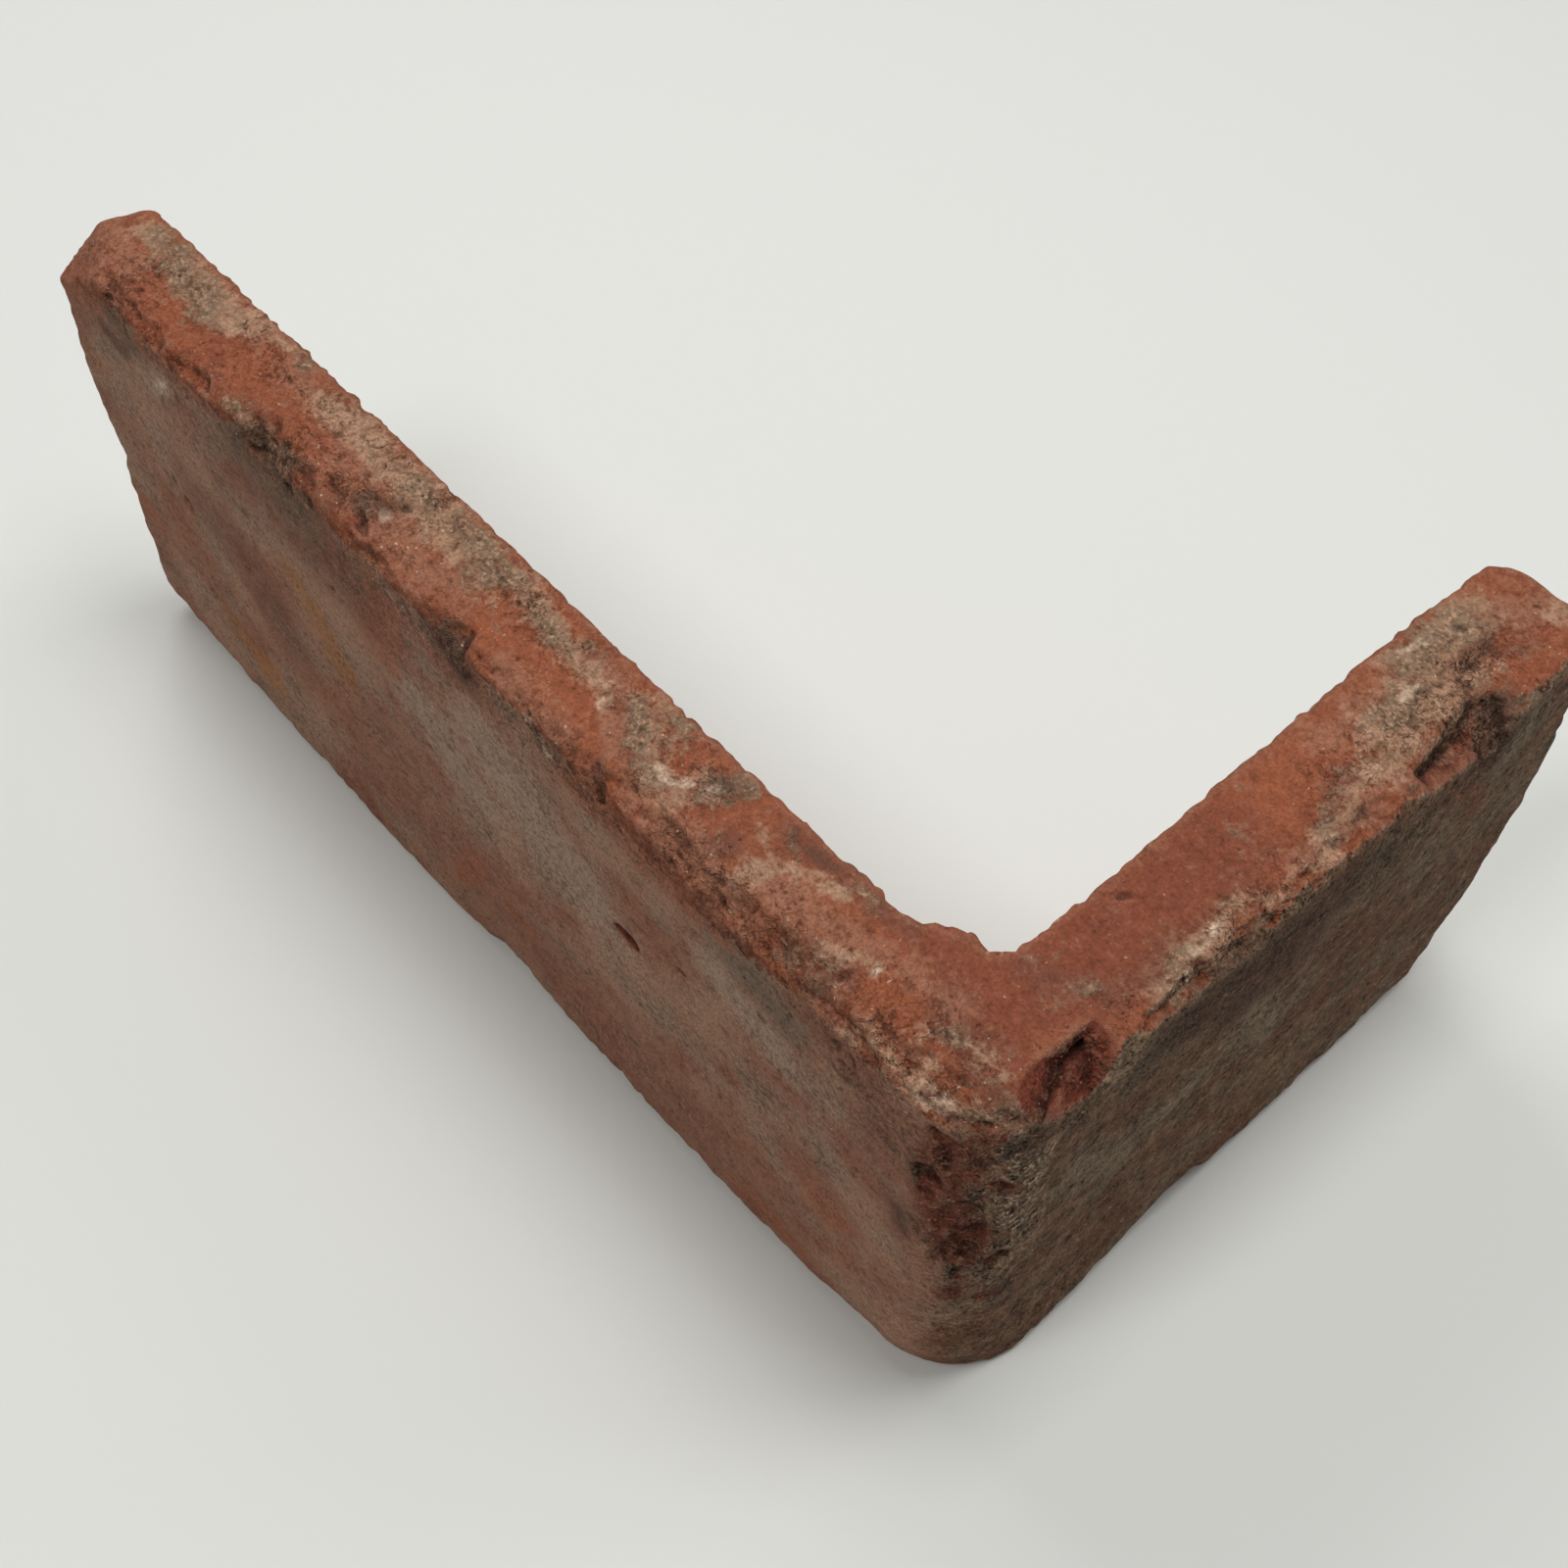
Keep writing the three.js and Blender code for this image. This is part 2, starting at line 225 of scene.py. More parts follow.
HOLLOWS = (
    # scar down the outer corner, a rough break with deeper pockets low in it
    ((-4.2, 1.4, 64), (7, 5, 19), 37, ((-5, 3.1, 64), (0.6, -0.8, 0.05))),
    ((-2.6, 2.9, 54), (3, 2.6, 6), 45),
    ((-0.4, 6.4, 47.6), (1.8, 2.6, 3.2), 20),
    ((-2.6, 3.4, 44.6), (1.8, 1.4, 2.2), 45),
    ((-4.8, 1.6, 50.6), (1.6, 1.2, 2.4), 45),
    ((-8.6, 0.4, 69), (2.2, 1.8, 5), 20),
    ((-6.6, 1.4, 74), (1.1, 1.4, 1.1), 40),
    ((-4.7, 2.6, 75), (0.9, 1.4, 1.2), 40),
    ((-3.4, 3.4, 72.4), (1.1, 1.4, 1.3), 45),
    ((-1.4, 5.6, 71.4), (1.4, 1.6, 1), 60),
    ((-9.4, 0, 54.4), (0.8, 0.9, 3), 0),
    ((-7.2, 0.6, 51.6), (2.2, 0.9, 0.9), 15),
    ((-0.2, 9.4, 34.8), (0.8, 2.6, 1), 10),
    ((-3.4, 2.8, 37.4), (1, 0.7, 3.2), 45),
    # broken top of the outer corner
    ((-1.6, 1, 85), (5.2, 3.6, 3.6), 45, ((-3, 2.4, 84.4), (0.6, -0.62, 0.5))),
    ((-6.6, 0.2, 82), (3.4, 1.6, 2), 8),
    ((-3.4, 3, 86.3), (0.9, 3, 0.8), 45),
    # shallow spalls of the arris of the header face
    ((-0.4, 66.5, 88.4), (4.2, 7.5, 1.9), 0),
    ((-2.4, 58, 88.2), (0.8, 2.6, 0.9), 20),
    ((-5.4, 63, 88.2), (0.8, 2.4, 0.9), -15),
    ((-3.2, 69.5, 88.2), (0.8, 2.4, 0.9), 10),
    # clefts and low places in the upper bed near the corner
    ((-40.6, 0.3, 88), (1.8, 0.8, 1), 14),
    ((-33, 2.2, 88), (4, 0.8, 0.9), 14),
    ((-50, 3.4, 88.2), (3, 1.6, 0.9), 30),
    ((-16, 8, 88.2), (3, 1, 0.8), 30),
    ((-10, 5.4, 88.2), (2.4, 0.9, 0.8), 10),
    # scallops of the header face's arris
    ((0.4, 46, 88), (1.8, 12, 1.9), 0),
    ((0.2, 31, 88), (1.4, 5, 1.7), 0),
    # notch in the foot of the short leg
    ((0, 49, 1), (2.9, 7.6, 7.4), 0),
    ((0.3, 61, 0), (1.8, 4.6, 3.4), 0),
    # crumbled clay along the arris of the stretcher face
    ((-146, 0.4, 85.4), (2.6, 1.6, 1.4), 0),
    ((-141.5, 1.4, 86.6), (1.8, 1.5, 1.2), 0),
    ((-137.5, -0.4, 84.4), (2, 1.4, 1.2), 0),
    ((-132, -0.2, 86), (1.4, 1.3, 1.6), 0),
    ((-128, 4.2, 88.2), (4, 1.8, 1), -15),
    ((-123, 3, 88.2), (3, 1, 0.9), -10),
    ((-69, -0.1, 85), (1.3, 1.1, 2.6), 0),
    ((-66.6, 1.6, 88), (2.6, 0.8, 1), -40),
    ((-36, 0.6, 88.5), (6.5, 3, 1.8), 8),
    ((-29, 2.6, 88.4), (4, 2.4, 1.2), 30),
    ((-55, -1.2, 88.3), (6, 3, 1.8), 0),
    ((-117, -1.2, 88.4), (6, 3, 2.4), 0),
    ((-161, -1, 88.2), (7, 3, 2.2), 0),
    # crescent chip in the stretcher face below the corner
    ((-22.5, -0.3, 79), (4.6, 1, 3), 0),
    # holes in the stretcher face
    ((-159.5, 0, 45.9), (1, 1.5, 0.8), 0),
    ((-130.2, 0, 68.2), (1.3, 1.6, 0.8), 0),
    ((-67.2, 0, 52.7), (1.9, 1.2, 0.9), 0),
    ((-65.4, 0, 52), (2.1, 1.8, 1.2), 0),
    ((-180, 0, 50.5), (1.3, 0.7, 1.3), 0),
    ((-176.4, 0, 48), (1.6, 0.8, 1), 0),
    ((-135, 0, 38), (3.6, 0.6, 1), 0),
    ((-52, 0, 57.5), (6, 0.5, 1), 0),
    # oval mark and small holes in the upper bed
    ((-179.6, 4.6, 88), (1, 1.2, 0.8), 0),
    ((-184, 2, 88), (1.3, 0.8, 0.6), 0),
    ((-137.4, 9.9, 88), (0.9, 0.7, 1), 0),
    ((-120.6, 8.5, 88), (1.3, 0.8, 1.2), 0),
    ((-125, 6, 88), (2.2, 1.2, 0.9), 30),
    ((-92.4, 10.2, 88), (1, 1, 0.8), 0),
    ((-14.4, 37, 88), (0.9, 0.8, 0.8), 0),
    ((-9, 110, 88), (0.8, 0.8, 0.9), 0),
    # notch in the sawn arris
    ((-151.4, 15.8, 88), (1.6, 0.9, 1.6), 0),
    # broken foot of the short leg's end
    ((0.5, 112, 6), (4.6, 5, 10), 0),
    # hollow in the upright arris of the long leg's end
    ((-200.5, -0.6, 42), (2.4, 2.6, 6), 0),
    ((-200.5, -0.6, 17), (1.4, 2, 4), 0),
)
# Three points of the flat break at the far end of the long leg.
END_BREAK = ((-184, 0, 88), (-196.1, 8.4, 88), (-198.2, 0, 79.4))
SWELLS = {  # the noise that shapes the clay, and the size of its features
    "header": 46, "header_fine": 15, "stretcher": 52, "stretcher_fine": 16, "top": 34,
    "top_fine": 11, "foot": 30, "far": 9, "near": 9, "saw": 3, "saw_fine": 1.4, "web": 7,
    "wear": 7, "wear_fine": 3, "snap": 4, "web_fine": 2.3, "crumbs": 1.7,
}
FACE_INSET, TOP_INSET, FOOT_INSET = 0.1, 0.15, 0.2  # how far the worn faces stand back
EDGE_BLEND, SAWN_BLEND, CUT_BLEND = 0.6, 1.2, 0.3  # how softly the faces and cuts run together
LEAST_WEAR, END_WEAR, TIP_WEAR, SAWN_TIP_WEAR = 0.6, 0.7, 0.4, 2.8  # the other arrises' wear
COS_45 = 0.7071
CLEAN_RAG, FULL_RAG = 0.35, 1.0  # how ragged the clean breaks and the other hollows are


def profile(table, where):
    return np.interp(where, list(table), list(table.values()))


def turned(points, degrees):
    c, s = np.cos(np.radians(degrees)), np.sin(np.radians(degrees))
    x, y, z = points.T
    return np.stack([x * c + y * s, y * c - x * s, z], 1)


def hollow_distance(points, hollow):
    middle, half, turn, *walls = hollow
    q = turned(points - middle, turn)
    reach = np.linalg.norm(q, axis=1)
    scaled = np.maximum(np.linalg.norm(q / half, axis=1), 1e-6)
    distance = reach * (scaled - 1) / scaled
    for point, outwards in walls:
        distance = np.maximum(distance, -(points - point) @ np.array(outwards))
    return distance


def end_break_distance(points):
    a, b, c = (np.array(p, float) for p in END_BREAK)
    normal = np.cross(b - a, c - a)
    normal /= np.linalg.norm(normal)
    if normal[2] < 0:
        normal = -normal
    return (points - a) @ normal


def fields(points):
    """The noise that shapes the clay. A ray keeps it from the prism all the way in."""
    swell = {name: noise(points, size, key) for key, (name, size) in enumerate(SWELLS.items())}
    swell["bend"] = warped(warped(points, 5.5, 0.9, 20), 1.9, 0.35, 23) - points
    return swell


def unbroken(points, swell):
    """Distance from the surface of the slip before the chips, below zero inside it."""
    x, y, z = points.T
    along = x + y
    taper = smoothstep(TAPER_RISE, 0, z)
    header = x + 0.42 * swell["header"] + 0.2 * swell["header_fine"] + FACE_INSET
    header += taper * profile(HEADER_TAPER, y)
    stretcher = -y + 0.45 * swell["stretcher"] + 0.2 * swell["stretcher_fine"] + FACE_INSET
    stretcher += taper * profile(STRETCHER_TAPER, x)
    radius = profile(CORNER_RADIUS, z)
    over_x, over_y = header + radius, stretcher + radius
    side = np.hypot(np.maximum(over_x, 0), np.maximum(over_y, 0))
    side += np.minimum(np.maximum(over_x, over_y), 0) - radius
    top = z - HEIGHT + 0.25 * swell["top"] + 0.16 * swell["top_fine"] + TOP_INSET
    foot = -z + FOOT_INSET + 0.25 * swell["foot"]
    far = -profile(LONG_END, z) + END_SKEW * y / LONG_LEG - x + 0.35 * swell["far"]
    far = far / np.hypot(1, END_SKEW / LONG_LEG)
    near = y - profile(SHORT_END, z) + 0.35 * swell["near"]
    torn = (0.35 * swell["web"] + 0.7 * swell["web_fine"]) * smoothstep(-33, -28, x)
    web = profile(WEB, x) + torn
    back = np.minimum((y - web) * 0.9, -profile(SHORT_BACK, y) - x)
    back = back + 0.14 * swell["saw"] + 0.12 * swell["saw_fine"]
    back += smoothstep(-4, -1, top) * (0.12 + 0.16 * swell["saw"] + 0.34 * swell["crumbs"])
    ragged = 1.3 * swell["wear"] + 0.7 * swell["wear_fine"] + 0.5 * swell["crumbs"]
    body = side
    for face in (top, foot, far, near):
        body = smooth_max(body, face, EDGE_BLEND)
    for face, wear in ((top, TOP_WEAR), (foot, FOOT_WEAR)):
        width = np.maximum(profile(wear, along) + ragged, LEAST_WEAR)
        body = smooth_max(body, (side + face + width) * COS_45, EDGE_BLEND)
    for end in (far, near):
        body = smooth_max(body, (side + end + END_WEAR + 0.6 * ragged) * COS_45, EDGE_BLEND)
        body = smooth_max(body, (top + end + TIP_WEAR + 0.4 * ragged) * COS_45, 0.5)
    body = smooth_max(body, (back + near + SAWN_TIP_WEAR) * COS_45, SAWN_BLEND)
    body = smooth_max(body, end_break_distance(points) + 0.3 * swell["snap"], 0.5)
    return smooth_max(body, back, CUT_BLEND)


def clay(points, swell):
    """Distance from the surface of the chipped slip, below zero inside it."""
    body = unbroken(points, swell)
    for hollows, rag in ((CLEAN_BREAKS, CLEAN_RAG), (HOLLOWS, FULL_RAG)):
        bent = points + rag * swell["bend"]
        for hollow in hollows:
            middle, half = np.array(hollow[0], float), max(hollow[1])
            near = np.flatnonzero((np.abs(bent - middle) < half + 2).all(axis=1))
            cut = -hollow_distance(bent[near], hollow)
            body[near] = smooth_max(body[near], cut, CUT_BLEND)
    return body


# ---- Grid ----


def steps(stretches):
    """Places along a line, from (start, end, spacing) stretches that follow each other."""
    places = []
    for start, end, gap in stretches:
        count = max(int(round((end - start) / gap)), 1)
        places.append(np.linspace(start, end, count, endpoint=False))
    return np.append(np.concatenate(places), stretches[-1][1])


PRISM_RADIUS = 10.0
STRAIGHT = LENGTH - PRISM_RADIUS  # distance along the outer face to where the corner starts
TURN = STRAIGHT + PRISM_RADIUS * np.pi / 2  # and to where it ends
PRISM_END = TURN + WIDTH - PRISM_RADIUS
INNER_PLAN = {  # by distance along the outer face, the point of the back that faces it
    0: (-LENGTH + END_SKEW, LONG_LEG),
    STRAIGHT - 22: (-32, LONG_LEG),
    STRAIGHT - 6: (-26, 16.6),
    STRAIGHT + PRISM_RADIUS * np.pi / 4: (-20.6, 18.6),
    TURN + 8: (-SHORT_LEG, 22),
    TURN + 20: (-SHORT_LEG, 30),
    PRISM_END: (-SHORT_LEG, WIDTH),
}
# Stretches of the grid, for steps.
ALONG = ((0, 160, 0.68), (160, 240, 0.57), (240, PRISM_END, 0.68))  # along the outer face
RISE = ((0, 6, 0.7), (6, 78, 0.78), (78, HEIGHT, 0.52))  # up the outer face
ACROSS = ((0, 0.34, 0.030), (0.34, 1, 0.042))  # over the upper bed, in shares of its width
FALL = ((0, 3, 1.0), (3, HEIGHT - 3, 2.5), (HEIGHT - 3, HEIGHT, 1.0))  # down the back
UNDER = ((0, 1, 0.1),)  # along the lower bed, in shares of its width
RINGS = (0.1, 0.22, 0.36, 0.5, 0.64, 0.78, 0.9, 0.97)  # how far the end faces' rings have shrunk


def outer_plan(s):
    angle = np.clip((s - STRAIGHT) / PRISM_RADIUS, 0, np.pi / 2)
    x = np.where(s < STRAIGHT, s - LENGTH, -PRISM_RADIUS + PRISM_RADIUS * np.sin(angle))
    y = np.where(s < TURN, PRISM_RADIUS * (1 - np.cos(angle)), s - TURN + PRISM_RADIUS)
    return np.stack([x, y], 1)


def inner_plan(s):
    return np.stack([np.interp(s, list(INNER_PLAN), axis) for axis in zip(*INNER_PLAN.values())], 1)


def prism_grid():
    """Points of the prism and the medial points that their rays aim at, station by station."""
    s = steps(ALONG)
    outer, inner = outer_plan(s), inner_plan(s)
    rise, across, fall, under = (steps(stretches)[:-1] for stretches in (RISE, ACROSS, FALL, UNDER))
    share = np.concatenate([0 * rise, across, 1 + 0 * fall, 1 - under])
    z = np.concatenate([rise, HEIGHT + 0 * across, HEIGHT - fall, 0 * under])
    plan = outer[:, None] * (1 - share[None, :, None]) + inner[:, None] * share[None, :, None]
    column = plan.shape[:2] + (1,)
    points = np.concatenate([plan, np.broadcast_to(z[None, :, None], column)], axis=2)
    middle = (outer + inner) / 2
    slant = middle[0, 0] + LENGTH
    middle[:, 0] = np.maximum(middle[:, 0], -LENGTH + slant + MEDIAL)
    middle[:, 1] = np.minimum(middle[:, 1], WIDTH - MEDIAL)
    height = np.clip(z, MEDIAL, HEIGHT - MEDIAL)
    aims = np.concatenate([
        np.broadcast_to(middle[:, None], plan.shape),
        np.broadcast_to(height[None, :, None], column),
    ], axis=2)
    return points, aims


def end_rings(edge, aims):
    """Rings that close in over an end face, from its edge towards the line through its middle."""
    middle = edge.mean(axis=0)
    axis = np.column_stack([np.tile(middle[:2], (len(edge), 1)), aims[:, 2]])
    return [edge * (1 - f) + axis * f for f in RINGS]


def quads_between(first, second):
    return np.stack([first, np.roll(first, -1), np.roll(second, -1), second], 1)


def slip_grid():
    """Start points, aims, quads and the two end polygons of the whole slip."""
    points, aims = prism_grid()
    count, around = points.shape[:2]
    rows = [np.arange(around) + k * around for k in range(count)]
    starts, targets = [points.reshape(-1, 3)], [aims.reshape(-1, 3)]
    quads = [quads_between(a, b) for a, b in zip(rows, rows[1:])]
    caps = []
    total = count * around
    for station, flip in ((0, True), (count - 1, False)):
        before = rows[station]
        for ring in end_rings(points[station], aims[station]):
            here = np.arange(around) + total
            total += around
            starts.append(ring)
            targets.append(aims[station])
            quads.append(quads_between(here, before) if flip else quads_between(before, here))
            before = here
        caps.append(before if flip else before[::-1])
    quads = np.concatenate(quads)[:, ::-1]
    return np.concatenate(starts), np.concatenate(targets), quads, caps


MARGIN = 5.0  # how far outside the prism the march starts
MARCH_STEPS = 22
MARCH_PACE = 0.72  # share of the distance to the clay that one step of the march takes
STEP_BACK, STEP_ON = -0.5, 1.6  # the longest steps
SPREAD_ROUNDS = 6
INTACT, BROKEN = 0.15, 0.6  # depths below the unbroken surface between which the spreading sets in
SPREAD_PULL = 0.8  # share of the distance back to the clay that one round takes


def march(points, aims):
    """Moves each point along its ray to the first clay that it meets, and gives the noise there."""
    direction = aims - points
    direction /= np.linalg.norm(direction, axis=1, keepdims=True)
    start = points - direction * MARGIN
    swell = fields(points)
    t = np.zeros(len(points))
    for _ in range(MARCH_STEPS):
        distance = clay(start + direction * t[:, None], swell)
        t += np.clip(distance * MARCH_PACE, STEP_BACK, STEP_ON)
    return start + direction * t[:, None], swell


def spread(points, quads, swell):
    """Evens out the points where the clay is broken, so that steep walls get their share."""
    broken = smoothstep(INTACT, BROKEN, -unbroken(points, swell))
    broken = np.clip(2 * relaxed(broken, quads, 4), 0, 1)[:, None]
    for _ in range(SPREAD_ROUNDS):
        points = points + broken * (relaxed(points, quads, 2) - points)
        normals = vertex_normals(points, quads)
        points = points - normals * (broken[:, 0] * clay(points, swell))[:, None] * SPREAD_PULL
    return points


def vertex_normals(points, quads):
    a, b, c, d = (points[quads[:, k]] for k in range(4))
    corners, count = quads.ravel(), len(points)
    face = np.repeat(np.cross(c - a, d - b), 4, axis=0)
    normal = np.stack([np.bincount(corners, axis, minlength=count) for axis in face.T], 1)
    return normal / np.maximum(np.linalg.norm(normal, axis=1, keepdims=True), 1e-12)


def relaxed(values, quads, rounds):
    """Values averaged over their neighbours, some rounds over."""
    sides = np.concatenate([quads[:, (k, (k + 1) % 4)] for k in range(4)])
    here, there = np.concatenate([sides, sides[:, ::-1]]).T
    valence = np.bincount(here, minlength=len(values))
    flat = values.reshape(len(values), -1)
    for _ in range(rounds):
        sums = [np.bincount(here, column[there], minlength=len(flat)) for column in flat.T]
        flat = 0.5 * flat + 0.5 * np.stack(sums, 1) / valence[:, None]
    return flat.reshape(values.shape)


# ---- What shows on the clay ----

